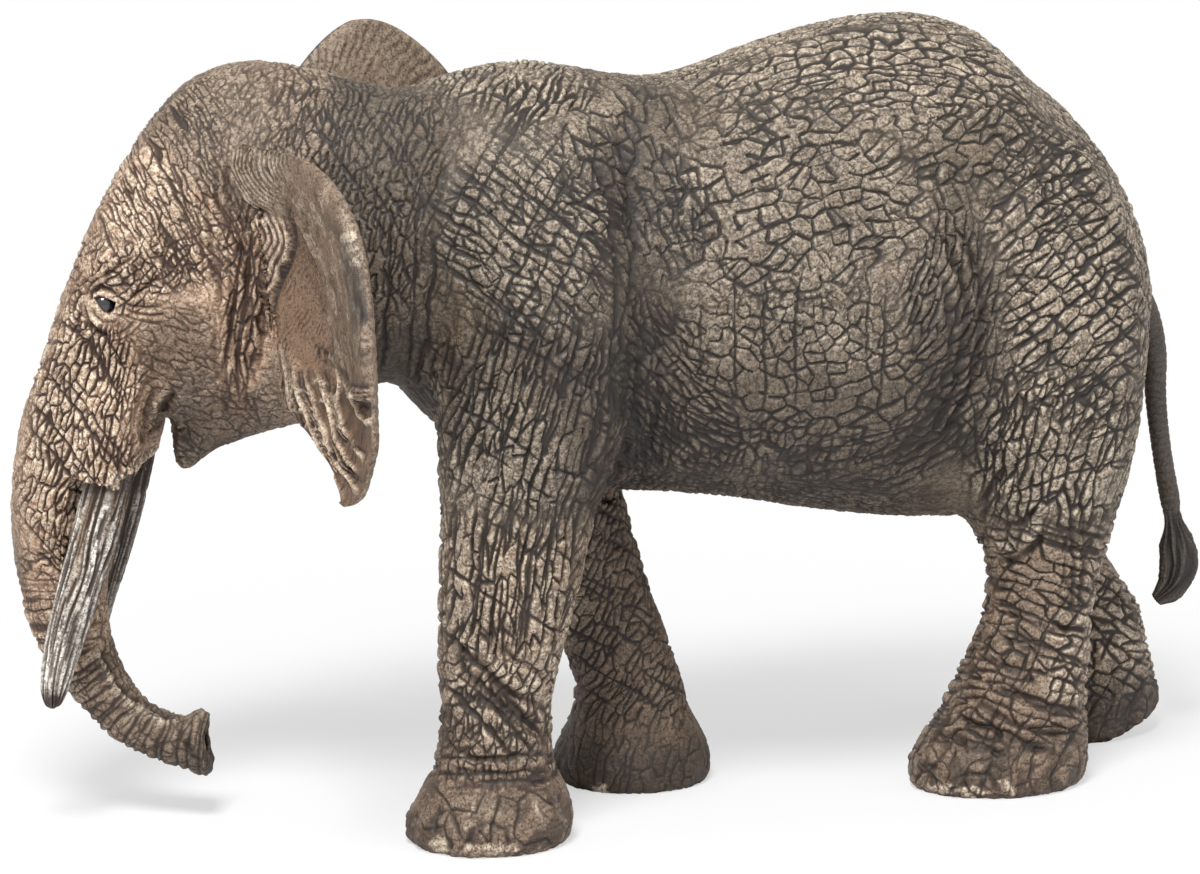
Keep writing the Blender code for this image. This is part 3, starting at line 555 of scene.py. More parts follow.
# Finer folds of the body and the head: a line through pixels, half width, depth and darkness, or a light ridge
# if the depth is below zero
FINE_FOLDS = {
    "body": (
        (((446, 634), (470, 660), (505, 690), (554, 716)), 0.70, 1.00, 1.0),
        (((452, 628), (480, 655), (515, 683), (556, 704)), 0.55, -0.40, 0.5),
        (((449, 655), (468, 676), (505, 708), (550, 733)), 0.62, 0.90, 1.0),
        (((470, 618), (492, 640), (524, 665), (552, 686)), 0.40, 0.50, 0.8),
        (((446, 690), (480, 702), (520, 724), (548, 742)), 0.42, 0.45, 0.7),
        (((446, 748), (470, 757), (505, 760), (555, 748)), 0.42, 0.50, 0.8),
        (((444, 767), (475, 772), (515, 774), (556, 766)), 0.42, 0.50, 0.8),
        (((448, 782), (490, 786), (530, 785), (560, 776)), 0.36, 0.35, 0.6),
        (((440, 800), (436, 818), (432, 838)), 0.36, 0.30, 0.7),
        (((474, 800), (468, 822), (466, 842)), 0.36, -0.30, 0.7),
        (((497, 798), (488, 820), (482, 842)), 0.36, -0.30, 0.7),
        (((534, 796), (538, 815), (545, 835)), 0.36, -0.28, 0.7),
        (((552, 792), (560, 812), (568, 828)), 0.36, -0.28, 0.7),
        (((428, 826), (436, 812), (448, 810), (458, 824), (462, 846)), 0.36, 0.35, 0.8),
        (((466, 850), (472, 830), (488, 822), (506, 830), (514, 850)), 0.36, 0.35, 0.8),
        (((977, 530), (984, 552), (997, 562), (1013, 562), (1035, 547), (1050, 532)), 0.60, 0.80, 0.9),
        (((985, 526), (995, 545), (1013, 549), (1033, 535), (1044, 522)), 0.60, -0.45, 0.5),
        (((988, 512), (1006, 527), (1026, 522), (1040, 505)), 0.45, 0.50, 0.8),
        (((977, 651), (993, 661), (1013, 671), (1029, 682), (1040, 685)), 0.55, 0.70, 0.85),
        (((993, 684), (1013, 693), (1032, 703), (1058, 711), (1079, 712)), 0.55, 0.70, 0.85),
        (((955, 688), (980, 703), (996, 713), (1019, 726), (1045, 733), (1076, 734)), 0.55, 0.75, 0.85),
        (((945, 711), (967, 720), (990, 726), (1013, 739), (1036, 747), (1062, 750)), 0.55, 0.70, 0.85),
        (((937, 726), (964, 739), (987, 747), (1010, 758)), 0.50, 0.60, 0.8),
        (((1000, 606), (1023, 621), (1052, 631), (1080, 627)), 0.50, 0.60, 0.8),
        (((985, 625), (1005, 640), (1030, 650), (1060, 655)), 0.45, 0.50, 0.7),
        (((1066, 480), (1074, 530), (1076, 580), (1070, 625)), 0.40, 0.45, 0.8),
        (((1076, 470), (1085, 520), (1086, 570), (1080, 620)), 0.40, 0.45, 0.8),
        (((1056, 500), (1064, 545), (1066, 590)), 0.36, 0.40, 0.7),
        (((950, 796), (955, 780), (970, 772), (990, 776), (1000, 792)), 0.36, 0.35, 0.8),
        (((916, 776), (922, 764), (934, 766), (940, 784)), 0.36, 0.35, 0.8),
        (((1006, 466), (985, 500), (980, 530)), 0.60, 0.55, 0.8),
        (((925, 250), (948, 290), (955, 340), (945, 390), (915, 440), (880, 470)), 0.60, 0.60, 0.7),
        (((942, 230), (962, 275), (968, 330), (958, 385), (930, 440), (895, 480)), 0.60, 0.60, 0.7),
        (((960, 225), (978, 270), (982, 325), (972, 385), (945, 440), (915, 480)), 0.60, 0.55, 0.7),
        (((610, 120), (630, 180), (636, 250), (630, 320)), 0.55, 0.45, 0.7),
        (((596, 150), (612, 200), (620, 270), (615, 340)), 0.50, 0.40, 0.6),
        (((640, 330), (640, 390), (628, 450), (610, 490)), 0.60, 0.50, 0.7),
        (((655, 300), (662, 370), (655, 430), (640, 470)), 0.50, 0.40, 0.6),
    ),
    "head": (
        (((176, 388), (167, 403), (161, 422), (158, 450)), 0.55, 0.75, 1.0),
        (((160, 384), (150, 402), (145, 425), (147, 452)), 0.50, 0.55, 0.75),
        (((166, 386), (156, 404), (151, 428), (152, 450)), 0.50, -0.45, 0.5),
        (((145, 384), (137, 404), (131, 428), (132, 452)), 0.42, 0.40, 0.6),
        (((180, 392), (176, 410), (176, 432), (184, 455)), 0.60, -0.45, 0.3),
        (((104, 484), (118, 478), (136, 468), (150, 458)), 0.40, -0.45, 1.6),
        (((70, 486), (88, 494), (108, 490), (126, 484)), 0.50, -0.55, 0.6),
        (((92, 640), (102, 663), (112, 687), (129, 703), (145, 713), (162, 722), (184, 720)), 0.45, -0.55, 1.2),
        (((98, 640), (109, 663), (119, 684), (135, 699), (150, 708), (166, 716), (186, 713)), 0.40, 0.45, 0.9),
        (((208, 728), (211, 738), (214, 750)), 0.55, 0.15, 1.0),
        (((194, 718), (202, 712), (210, 718)), 0.60, -0.60, 0.3),
        (((186, 735), (192, 750), (202, 764)), 0.50, 0.30, 0.5),
        (((228, 150), (226, 190), (236, 215), (262, 232)), 0.42, 0.42, 0.55),
        (((216, 160), (216, 200), (224, 230), (250, 262)), 0.42, 0.42, 0.55),
        (((206, 175), (206, 215), (214, 262), (218, 310)), 0.42, 0.42, 0.55),
        (((222, 235), (230, 275), (232, 320), (228, 370)), 0.42, 0.42, 0.55),
        (((238, 240), (248, 275), (250, 320), (246, 375)), 0.42, 0.42, 0.55),
        (((256, 240), (262, 280), (262, 325), (258, 380)), 0.42, 0.42, 0.55),
        (((214, 330), (213, 355), (220, 385)), 0.40, 0.38, 0.5),
        (((240, 320), (236, 350), (242, 385)), 0.40, 0.38, 0.5),
        (((196, 190), (198, 235), (204, 280)), 0.40, 0.38, 0.5),
        (((258, 222), (266, 245), (268, 265), (262, 295), (258, 325)), 1.60, -0.50, 0.1),
    ),
}
FOLD_WANDER = 2.0
# Off-white paint at the fronts of the soles, in soft ovals
PALE_SPOTS = (
    (440, 845, 11, 7, 0), (490, 849, 30, 5, 0), (940, 787, 14, 6, 0), (975, 792, 20, 5, 0), (1007, 789, 8, 7, 0),
    (600, 788, 8, 5, 0),
)


PIXEL = DISTANCE * SENSOR / LENS / PHOTO_WIDTH


# The finger, the lower lip and the opening at the tip of the trunk, then the hollow behind the tusks: place and
# reach in pixels, and height
TRUNK_FORMS = (
    (200, 720, 11, 1.2), (204, 768, 12, 0.8), (214, 744, 9, -0.12),
    (140, 500, 24, -1.1), (132, 545, 24, -1.1), (122, 590, 20, -0.8),
)


def fold_height(u, v, folds):
    """The height of some folds, each a soft groove or ridge along a line through pixels."""
    total = np.zeros(len(u), np.float32)
    for line, half_width, depth in folds:
        d, along = line_distance(u, v, line)
        ends = step(0.0, 0.12, along) * step(1.0, 0.85, along)
        total -= depth * ends * np.exp(-((d * PIXEL / half_width) ** 2))
    return total


def fine_folds(f):
    """The height of the finer folds, their darkness, and the light paint on their ridges."""
    count = len(f["u"])
    height, dark, light = (np.zeros(count, np.float32) for _ in range(3))
    wander = noise(f["body"], 2.2, 95) + 0.5 * noise(f["body"], 0.9, 96)
    u, v = f["u"] + FOLD_WANDER * wander, f["v"] - FOLD_WANDER * wander
    near = step(0.1, 0.4, f["out"]) * ~on_far_leg(f["labels"])
    share = {"head": f["in_head"] * near, "body": (1 - f["in_head"]) * near}
    every = [(group, *fold) for group, folds in FINE_FOLDS.items() for fold in folds]
    for group, line, half_width, depth, strength in every:
        xs, ys = zip(*line)
        box = (u > min(xs) - 20) & (u < max(xs) + 20) & (v > min(ys) - 20) & (v < max(ys) + 20)
        at = np.flatnonzero(box & (share[group] > 0))
        if not len(at):
            continue
        d, along = line_distance(u[at], v[at], line)
        here = share[group][at] * step(0, 0.15, along) * step(1, 0.85, along) * (0.8 + 0.4 * wander[at])
        shape = np.exp(-((d * PIXEL / half_width) ** 2)) * here
        height[at] -= depth * shape
        if depth > 0:
            dark[at] = np.maximum(dark[at], strength * np.clip(shape * 1.3 - 0.15, 0, 1))
        else:
            light[at] = np.maximum(light[at], strength * shape)
    return height, dark, light


def broad_height(f):
    """The broad muscle forms and main folds."""
    u, v, labels = f["u"], f["v"], f["labels"]
    total = np.zeros(len(u), np.float32)
    torso = (1 - f["in_head"]) * step(0.15, 0.5, f["out"]) * ~on_far_leg(labels)
    face = f["in_head"] * step(0.15, 0.5, f["out"])
    for share, forms, folds in ((torso, TORSO_FORMS, TORSO_FOLDS), (face, HEAD_FORMS, HEAD_FOLDS)):
        for *oval, height in forms:
            total += share * height * blob(u, v, [oval])
        total += share * fold_height(u, v, folds)
    for px, py, reach, height in TRUNK_FORMS:
        total += f["in_head"] * height * np.exp(-((u - px) ** 2 + (v - py) ** 2) / reach**2)
    return total


# Cracks over the surface, as lines and as the walls between cells


# How many times as wide as a crack its groove is, and what all widths are multiplied by
GROOVE = 3.0
NARROW = 0.74


def hashed(a, b, seed):
    """A number from 0 to 1 for each pair of whole numbers."""
    return (mixed(seed, a, b) >> np.uint32(8)).astype(np.float32) / 2**24


def broken_lines(across, along, spacing, length, width, share, seed, swell=1.0):
    """Lines side by side, each cut on a share of its length: how deep a point is in one, and in its groove."""
    t = across / spacing
    nearest = np.floor(t)
    best = np.zeros(len(t), np.float32)
    wide = np.zeros(len(t), np.float32)
    zero = np.zeros(len(t), np.int64)
    for k in (-1, 0, 1):
        n = nearest + k
        number = n.astype(np.int64)
        shift = hashed(number, zero, seed)
        d = np.abs(t - n - 0.15 - 0.7 * shift) * spacing
        s = along / length + 9 * hashed(number, zero + 1, seed)
        cell = np.floor(s)
        part = s - cell
        part = part * part * (3 - 2 * part)
        cell = cell.astype(np.int64)
        on = hashed(number, cell * 2 + 7, seed) * (1 - part) + hashed(number, cell * 2 + 9, seed) * part
        on = step(0.85 - share, 1.1 - share, on)
        here = width * NARROW * (0.75 + 0.5 * shift) * (0.35 + 0.65 * on) * swell
        best = np.maximum(best, crack(d, here) * on)
        wide = np.maximum(wide, crack(d, here * GROOVE) * on)
    return best, wide


def cell_walls(a, b, length, spacing, width, share, seed, swell=1.0):
    """Walls between cells of a length and a width, some of them left out: as broken_lines gives them."""
    qa, qb = a / length, b / spacing
    ca, cb = np.floor(qa), np.floor(qb)
    ia, ib = ca.astype(np.int64), cb.astype(np.int64)
    count = len(a)
    first = np.full(count, 9, np.float32)
    second = np.full(count, 9, np.float32)
    spots = [np.zeros(count, np.float32) for _ in range(4)]
    names = [np.zeros(count, np.float32), np.zeros(count, np.float32)]
    for da in (-1, 0, 1):
        for db in (-1, 0, 1):
            x = ca + da + 0.08 + 0.84 * hashed(ia + da, ib + db, seed) - qa
            y = cb + db + 0.08 + 0.84 * hashed(ia + da, ib + db, seed + 1) - qb
            name = hashed(ia + da, ib + db, seed + 2)
            d = x * x + y * y
            closest = d < first
            following = ~closest & (d < second)
            second = np.where(closest, first, np.where(following, d, second))
            spots[2] = np.where(closest, spots[0], np.where(following, x, spots[2]))
            spots[3] = np.where(closest, spots[1], np.where(following, y, spots[3]))
            names[1] = np.where(closest, names[0], np.where(following, name, names[1]))
            first = np.where(closest, d, first)
            spots[0] = np.where(closest, x, spots[0])
            spots[1] = np.where(closest, y, spots[1])
            names[0] = np.where(closest, name, names[0])
    x, y = spots[2] - spots[0], spots[3] - spots[1]
    reach = np.hypot(x, y) + 1e-6
    slope = np.hypot(x / reach / length, y / reach / spacing)
    d = (second - first) / (2 * reach) / slope
    wall = (names[0] + names[1]) * 7.13 % 1
    on = step(0.9 - share, 1.1 - share, wall)
    here = width * NARROW * (0.7 + 0.6 * wall) * (0.35 + 0.65 * on) * swell
    return crack(d, here) * on, crack(d, here * GROOVE) * on


# The patterns of the skin: the group of pieces, the kind, its direction in degrees up from the rear as the
# camera sees it, or the pixel it circles, then in millimetres its spacing, length, width and depth, the share of
# it that is cut, and soft ovals in pixels or, for legs, the lowest and the highest level
BELLY_CENTRE = (800, 240)
BACK_CENTRE = (875, 350)
PATTERNS = (
    ("all", "cells", 20, 1.1, 1.4, 0.20, 0.10, 0.55, ((600, 400, 1200, 900, 0),)),
    ("body", "cells", 12, 2.3, 3.0, 0.38, 0.42, 0.80, ((790, 205, 150, 115, 0),)),
    ("body", "line", 24, 2.2, 2.2, 0.30, 0.22, 0.40, ((790, 205, 150, 115, 0),)),
    ("body", "line", -48, 2.6, 2.4, 0.30, 0.22, 0.40, ((790, 205, 150, 115, 0),)),
    ("body", "ringcells", BELLY_CENTRE, 1.9, 3.0, 0.34, 0.38, 0.85, ((800, 380, 160, 85, 0),)),
    ("body", "line", 88, 4.0, 9.0, 0.36, 0.36, 0.70, ((800, 345, 105, 75, 0),)),
    ("body", "ringcells", BELLY_CENTRE, 1.05, 4.4, 0.32, 0.36, 0.90, ((675, 400, 60, 110, -20),
                                                                      (870, 465, 120, 45, -20))),
    ("body", "ringcells", BELLY_CENTRE, 1.05, 5.0, 0.36, 0.46, 0.92, ((956, 320, 46, 150, 0),)),
    ("body", "cells", 70, 1.2, 2.2, 0.30, 0.28, 0.80, ((740, 460, 160, 50, 0),)),
    ("body", "ringcells", BACK_CENTRE, 1.2, 2.0, 0.28, 0.32, 0.90, ((870, 55, 290, 75, 0),
                                                                    (1060, 150, 60, 90, 0))),
    ("body", "ring", BACK_CENTRE, 1.5, 9.0, 0.26, 0.24, 0.60, ((870, 45, 270, 55, 0),)),
    ("body", "cells", 38, 1.5, 3.6, 0.36, 0.46, 0.90, ((1080, 275, 90, 155, 0),)),
    ("body", "cells", 40, 1.7, 2.6, 0.36, 0.42, 0.88, ((975, 150, 75, 60, 0),)),
    ("body", "cells", 80, 1.4, 3.4, 0.36, 0.42, 0.88, ((1000, 420, 50, 90, 0),)),
    ("body", "cells", 10, 1.1, 2.6, 0.30, 0.26, 0.80, ((780, 505, 200, 30, 5),)),
    ("body", "line", 40, 3.3, 9.0, 0.42, 0.40, 0.65, ((1080, 290, 80, 140, 0), (1035, 215, 50, 50, 0))),
    ("body", "line", -50, 3.2, 3.5, 0.36, 0.32, 0.60, ((1080, 290, 80, 140, 0),)),
    ("body", "cells", 74, 1.45, 4.8, 0.38, 0.48, 0.92, ((1060, 460, 95, 100, 0),)),
    ("body", "line", 16, 3.4, 3.5, 0.36, 0.30, 0.50, ((1070, 440, 80, 90, 0),)),
    ("body", "cells", -66, 1.25, 3.8, 0.34, 0.36, 0.85, ((655, 190, 55, 120, 0),)),
    ("body", "cells", 86, 1.2, 4.2, 0.34, 0.36, 0.85, ((635, 400, 50, 110, 0),)),
    ("body", "cells", -38, 1.25, 3.4, 0.32, 0.36, 0.85, ((525, 235, 95, 110, 0),)),
    ("body", "line", -38, 3.0, 9.0, 0.38, 0.36, 0.65, ((525, 235, 90, 110, 0),)),
    ("body", "line", 62, 2.6, 6.0, 0.36, 0.36, 0.65, ((520, 225, 90, 115, 0),)),
    ("body", "cells", 58, 1.1, 4.0, 0.40, 0.46, 0.90, ((505, 90, 78, 44, 0),)),
    ("body", "cells", -54, 1.7, 3.4, 0.36, 0.38, 0.85, ((600, 165, 48, 110, 0),)),
    ("body", "cells", 73, 1.25, 5.0, 0.36, 0.46, 0.90, ((520, 410, 110, 120, 0),)),
    ("body", "line", 73, 3.6, 15.0, 0.42, 0.44, 0.60, ((520, 400, 105, 115, 0),)),
    ("body", "line", -30, 2.8, 4.0, 0.32, 0.28, 0.55, ((520, 400, 105, 125, 0),)),
    ("neck", "cells", 74, 0.95, 2.6, 0.30, 0.32, 0.85, ((345, 185, 110, 155, 0),)),
    ("neck", "line", -58, 2.4, 3.4, 0.34, 0.26, 0.50, ((350, 185, 105, 150, 0),)),
    ("neck", "line", 86, 2.8, 12.0, 0.40, 0.36, 0.62, ((405, 290, 50, 110, 0),)),
    ("head", "cells", 76, 0.90, 2.7, 0.34, 0.46, 0.92, ((70, 400, 55, 120, 8), (85, 500, 60, 70, 0))),
    ("head", "line", -50, 3.2, 9.0, 0.36, 0.38, 0.75, ((75, 420, 58, 130, 8), (60, 540, 45, 50, 0))),
    ("head", "cells", -30, 1.1, 1.6, 0.30, 0.32, 0.85, ((50, 570, 50, 60, 0),)),
    ("head", "cells", -60, 0.75, 3.0, 0.26, 0.26, 0.85, ((160, 160, 80, 90, 0), (190, 235, 65, 75, 0))),
    ("head", "line", -64, 2.6, 7.0, 0.34, 0.26, 0.55, ((165, 200, 90, 100, 0),)),
    ("head", "cells", 40, 1.05, 1.5, 0.30, 0.30, 0.85, ((145, 265, 55, 50, 0), (80, 275, 30, 65, 0))),
    ("head", "cells", 82, 1.05, 3.0, 0.36, 0.40, 0.90, ((240, 290, 42, 115, 0),)),
    ("head", "line", 84, 2.0, 6.0, 0.50, 0.50, 0.55, ((236, 290, 38, 105, 0),)),
    ("head", "cells", -24, 1.0, 2.2, 0.26, 0.18, 0.75, ((205, 415, 85, 45, 0), (160, 360, 50, 45, 0))),
    ("head", "cells", 50, 1.0, 2.0, 0.24, 0.16, 0.65, ((235, 100, 95, 55, 0),)),
)
LEG_PATTERNS = {
    "front_left_leg": (
        ("cells", 82, 1.15, 5.5, 0.36, 0.50, 0.92, 26.0, 60.0),
        ("cells", 62, 1.3, 2.6, 0.32, 0.36, 0.85, 15.0, 26.0),
        ("line", 82, 2.4, 10.0, 0.44, 0.50, 0.62, 28.0, 60.0),
        ("line", -35, 2.8, 4.0, 0.34, 0.28, 0.50, 22.0, 60.0),
        ("line", -46, 2.2, 14.0, 0.55, 0.60, 0.62, 13.0, 22.0),
        ("cells", 84, 1.1, 2.4, 0.32, 0.34, 0.85, 9.0, 18.0),
        ("line", 2, 1.5, 9.0, 0.42, 0.36, 0.65, 8.5, 14.0),
        ("cells", 20, 1.5, 2.2, 0.22, 0.12, 0.50, 0.0, 10.0),
        ("cells", 75, 3.6, 5.0, 0.30, 0.26, 0.60, 0.0, 8.5),
    ),
    "front_right_leg": (
        ("cells", 60, 1.0, 2.8, 0.30, 0.36, 0.92, 9.0, 60.0),
        ("line", -30, 2.6, 5.0, 0.38, 0.36, 0.60, 12.0, 60.0),
        ("cells", 80, 1.2, 3.6, 0.26, 0.20, 0.60, 0.0, 10.0),
    ),
    "hind_left_leg": (
        ("cells", -18, 1.5, 3.8, 0.38, 0.46, 0.85, 7.0, 40.0),
        ("line", -18, 3.4, 9.0, 0.50, 0.50, 0.65, 8.0, 40.0),
        ("line", 62, 2.4, 3.0, 0.36, 0.32, 0.55, 5.0, 40.0),
        ("cells", 60, 1.6, 2.4, 0.28, 0.20, 0.70, 0.0, 8.0),
        ("cells", 70, 3.2, 4.0, 0.30, 0.26, 0.60, 0.0, 6.0),
    ),
    "hind_right_leg": (
        ("cells", -24, 1.5, 3.2, 0.38, 0.44, 0.90, 6.0, 40.0),
        ("line", 58, 2.4, 3.0, 0.36, 0.30, 0.60, 4.0, 40.0),
        ("cells", 70, 1.7, 2.4, 0.28, 0.20, 0.70, 0.0, 7.0),
    ),
}


# How far out a turn round a centre is measured, in millimetres, and how far apart the planes' seeds are
ROUND_REACH = 24.0
PLANE_SEEDS = 31
# How far the far side, and the rear, front, top and bottom, are set off so that no pattern is mirrored
SIDE_APART = 400.0
ENDS_APART = 90


def carve(f, pattern, weight, seed):
    """Cuts one pattern where it has weight, on the three planes that the surface is seen in."""
    kind, way, spacing, length, width, depth, share = pattern
    for plane, (a, b, seen) in enumerate(f["planes"]):
        here = weight * seen
        at = np.flatnonzero(here > 0.03)
        if not len(at):
            continue
        x, y = a[at], b[at]
        if kind in ("ring", "ray", "ringcells") and plane == 0:
            x = x - (way[0] - PHOTO_WIDTH / 2) * PIXEL
            y = y + (way[1] - PHOTO_HEIGHT / 2) * PIXEL
            around, away = np.arctan2(y, x) * ROUND_REACH, np.hypot(x, y)
            across, along = (around, away) if kind == "ray" else (away, around)
        else:
            turn = math.radians(way if kind in ("line", "cells") else 90 if kind == "ray" else 0)
            across = y * math.cos(turn) - x * math.sin(turn)
            along = x * math.cos(turn) + y * math.sin(turn)
        rest = (width, share, seed + PLANE_SEEDS * plane, f["swell"][at])
        if kind in ("cells", "ringcells"):
            cut, wide = cell_walls(along, across, length, spacing, *rest)
        else:
            cut, wide = broken_lines(across, along, spacing, length, *rest)
        here = here[at]
        f["deep"][at] = np.hypot(f["deep"][at], depth * here * (0.45 * cut + 0.55 * wide))
        dark = min(1, depth / 0.28) * here
        f["wash"][at] = over(f["wash"][at], dark * np.clip(1.05 * cut**0.6 + 0.14 * wide, 0, 1))
        # Painted highlight along the rims of the cracks, on the shoulders of their grooves
        f["edge"][at] = np.maximum(f["edge"][at], dark * np.clip(wide - 1.4 * cut, 0, 1))


def add_planes(f, normals):
    """The three planes that the skin is seen in, each with two coordinates in millimetres and its weight."""
    body = f["body"]
    far = normals[:, 1] > 0
    flipped_normals = normals.copy()
    flipped_normals[far, 1] *= -1
    facing = step(0.34, 0.60, (flipped_normals @ BACK).astype(np.float32))
    up = normals[:, 2] ** 2 / (normals[:, 0] ** 2 + normals[:, 2] ** 2 + 1e-9)
    up = step(0.35, 0.65, up.astype(np.float32))
    warp = 0.6 * noise3(body, 5.5, 11) + 0.24 * noise3(body, 1.9, 21) + 0.10 * noise3(body, 0.8, 27)
    f["swell"] = (1 + 0.45 * noise(body, 1.5, 33) + 0.3 * noise(body, 4.5, 34)).astype(np.float32)
    seen_across = (f["u"] - PHOTO_WIDTH / 2) * PIXEL + warp[:, 0] + np.where(far, SIDE_APART, 0.0)
    seen_up = (PHOTO_HEIGHT / 2 - f["v"]) * PIXEL + warp[:, 2]
    bent = body + warp
    planes = [
        (seen_across, seen_up, facing),
        (bent[:, 1] + ENDS_APART * np.sign(normals[:, 0]), bent[:, 2], (1 - facing) * (1 - up)),
        (bent[:, 0] + ENDS_APART * np.sign(normals[:, 2]), bent[:, 1], (1 - facing) * up),
    ]
    f["planes"] = [tuple(part.astype(np.float32) for part in plane) for plane in planes]


# Between the trunk's rings and between the wrinkles round the eye, in millimetres
RING_SPACING = 1.34
EYE_RING_SPACING = 0.85
EYE_WRINKLES_REACH = 9
RELIEF = 1.3


def leg_shares(f):
    """How much of each leg a place is. A leg's own patterns run up into the torso."""
    body, labels = f["body"], f["labels"]
    shares = []
    for k, name in enumerate(LEG_NODES):
        x, y, z = LEG_SEAMS[name]
        above = (labels == 0) & (body[:, 1] * y > 0) & (np.abs(body[:, 0] - x) < LEG_WIDEST)
        share = ((labels == k + 2) | above) * (1 - step(z - 2, z + 8, body[:, 2]))
        shares.append(share.astype(np.float32))
    return shares


def ring_trunk(f, trunk):
    """Rings round the trunk, and the cracks across them."""
    head = f["head"]
    at = np.flatnonzero(trunk > 0.02)
    where = f["trunk"][at] + 0.55 * noise(head[at], 6.0, 61) + 0.22 * noise(head[at], 1.6, 62)
    round_it = head[at, 1] + 0.6 * f["fore"][at] + 0.4 * noise(head[at], 2.0, 64)
    cut, wide = broken_lines(where, round_it, RING_SPACING, 5.0, 0.42, 0.92, 63, f["swell"][at])
    small, small_wide = cell_walls(round_it, where, 1.1, 1.7, 0.30, 0.85, 65, f["swell"][at])
    here = trunk[at]
    rings = here * step(-5.0, -2.0, f["fore"][at])
    f["deep"][at] = np.hypot(f["deep"][at], 0.34 * rings * (0.45 * cut + 0.55 * wide))
    f["deep"][at] = np.hypot(f["deep"][at], 0.22 * here * (0.5 * small + 0.5 * small_wide))
    dark = over(0.9 * rings * np.clip(cut + 0.2 * wide, 0, 1), 0.75 * here * small)
    f["wash"][at] = over(f["wash"][at], dark)


def wrinkle_eyes(f, normals):
    """Wrinkles round each eye. Close to it nothing is left but its own lids."""
    head, in_head = f["head"], f["in_head"]
    away = np.hypot(f["eye"][:, 0] / 1.25, f["eye"][:, 2])
    at = np.flatnonzero((away < EYE_WRINKLES_REACH) & (in_head > 0.5) & (np.abs(normals[:, 1]) > 0.2))
    d = away[at]
    ring = d / EYE_RING_SPACING + 0.25 * noise(head[at], 1.6, 71)
    cut = crack(off_line(ring) * EYE_RING_SPACING, 0.30) * step(2.6, 3.4, d) * step(6.5, 4.5, d)
    cut = cut * step(-0.2, 0.3, noise(head[at], 1.8, 72))
    f["deep"][at] = np.hypot(f["deep"][at], 0.26 * cut)
    f["wash"][at] = over(f["wash"][at], 0.75 * cut)
    away = np.hypot(f["eye"][:, 0] / 1.1, f["eye"][:, 2] + 0.3)
    by_eye = in_head * step(3.0, 1.7, away) * (np.abs(head[:, 1]) > 4)
    f["deep"] *= 1 - 0.85 * by_eye
    f["wash"] *= 1 - 0.9 * by_eye


def fine_height(f, normals):
    """Cuts, rings and folds. Returns the height and how much dark wash lies in it."""
    body, in_head = f["body"], f["in_head"]
    u, v = wandering(f)
    for key in ("deep", "wash", "edge"):
        f[key] = np.zeros(len(u), np.float32)
    add_planes(f, normals)
    leg_share = leg_shares(f)
    legs = np.clip(sum(leg_share), 0, 1)
    f["legs"] = legs
    trunk = step(27, 34, f["trunk"]) * in_head
    groups = {
        "all": (1 - 0.5 * trunk),
        "body": (1 - legs**2) * (1 - in_head),
        "neck": (1 - legs**2) * (1 - trunk),
        "head": in_head * (1 - trunk),
    }
    for number, (group, *pattern, spots) in enumerate(PATTERNS):
        weight = (groups[group] * blob(u, v, spots)).astype(np.float32)
        carve(f, pattern, weight, 1000 + 101 * number)
    for k, name in enumerate(LEG_NODES):
        for number, (*pattern, low, high) in enumerate(LEG_PATTERNS[name]):
            level = step(low - 1.5, low + 1.5, body[:, 2]) * (1 - step(high - 1.5, high + 1.5, body[:, 2]))
            share = 1 - (1 - leg_share[k]) ** 2
            carve(f, pattern, (share * level).astype(np.float32), 9000 + 707 * k + 101 * number)
    ring_trunk(f, trunk)
    wrinkle_eyes(f, normals)
    folds, dark, f["lit"] = fine_folds(f)
    f["wash"] = over(f["wash"], np.clip(dark, 0, 1))
    lumps = 0.07 * noise(body, 1.1, 81) + 0.04 * noise(body, 0.6, 82)
    return lumps * (1 - f["wash"]) - RELIEF * f["deep"] + folds, f["wash"]


# Materials


def linear(red, green, blue):
    """A colour named as it looks on screen, 0 to 255."""
    return tuple(((c / 255 + 0.055) / 1.055) ** 2.4 if c > 10 else c / 255 / 12.92 for c in (red, green, blue))


DARK_COOL = linear(32, 25, 18)
DARK_WARM = linear(48, 30, 19)
MIDDLE_COOL = linear(98, 83, 68)
MIDDLE_WARM = linear(170, 134, 106)
LIGHT_COOL = linear(214, 198, 176)
LIGHT_WARM = linear(252, 232, 206)
# What deep shade leaves of each colour
SHADED = (0.21, 0.19, 0.18)
# Dark, middle and light paint, each as it is on cool and on warm places
SKIN_PAINT = ((DARK_COOL, DARK_WARM), (MIDDLE_COOL, MIDDLE_WARM), (LIGHT_COOL, LIGHT_WARM))
IVORY_PAINT = (
    (linear(48, 34, 25), linear(52, 32, 20)),
    (linear(150, 138, 126), linear(134, 106, 82)),
    (linear(250, 244, 234), linear(232, 214, 190)),
)
HAIR_PAINT = (
    (linear(24, 18, 13), linear(30, 22, 15)),
    (linear(82, 74, 68), linear(90, 78, 66)),
    (linear(150, 138, 126), linear(150, 134, 116)),
)


class Nodes:
    """Adds nodes to a tree. An input takes a number, a colour or another node's output."""

    def __init__(self, tree):
        self.tree = tree

    def feed(self, socket, value):
        if isinstance(value, bpy.types.NodeSocket):
            self.tree.links.new(value, socket)
        elif isinstance(value, tuple) and socket.type == "RGBA":
            socket.default_value = (*value, 1)
        else:
            socket.default_value = value

    def add(self, kind, inputs, **values):
        new = self.tree.nodes.new("ShaderNode" + kind)
        for key, value in values.items():
            setattr(new, key, value)
        for key, value in inputs.items():
            self.feed(new.inputs[key], value)
        return new

    def maths(self, operation, a, b=0.0, clamp=False):
        return self.add("Math", {0: a, 1: b}, operation=operation, use_clamp=clamp).outputs[0]

    def mix(self, factor, a, b, blend="MIX"):
        return self.add("Mix", {0: factor, 6: a, 7: b}, data_type="RGBA", blend_type=blend).outputs[2]

    def where(self):
        return self.add("TexCoord", {}).outputs["Object"]


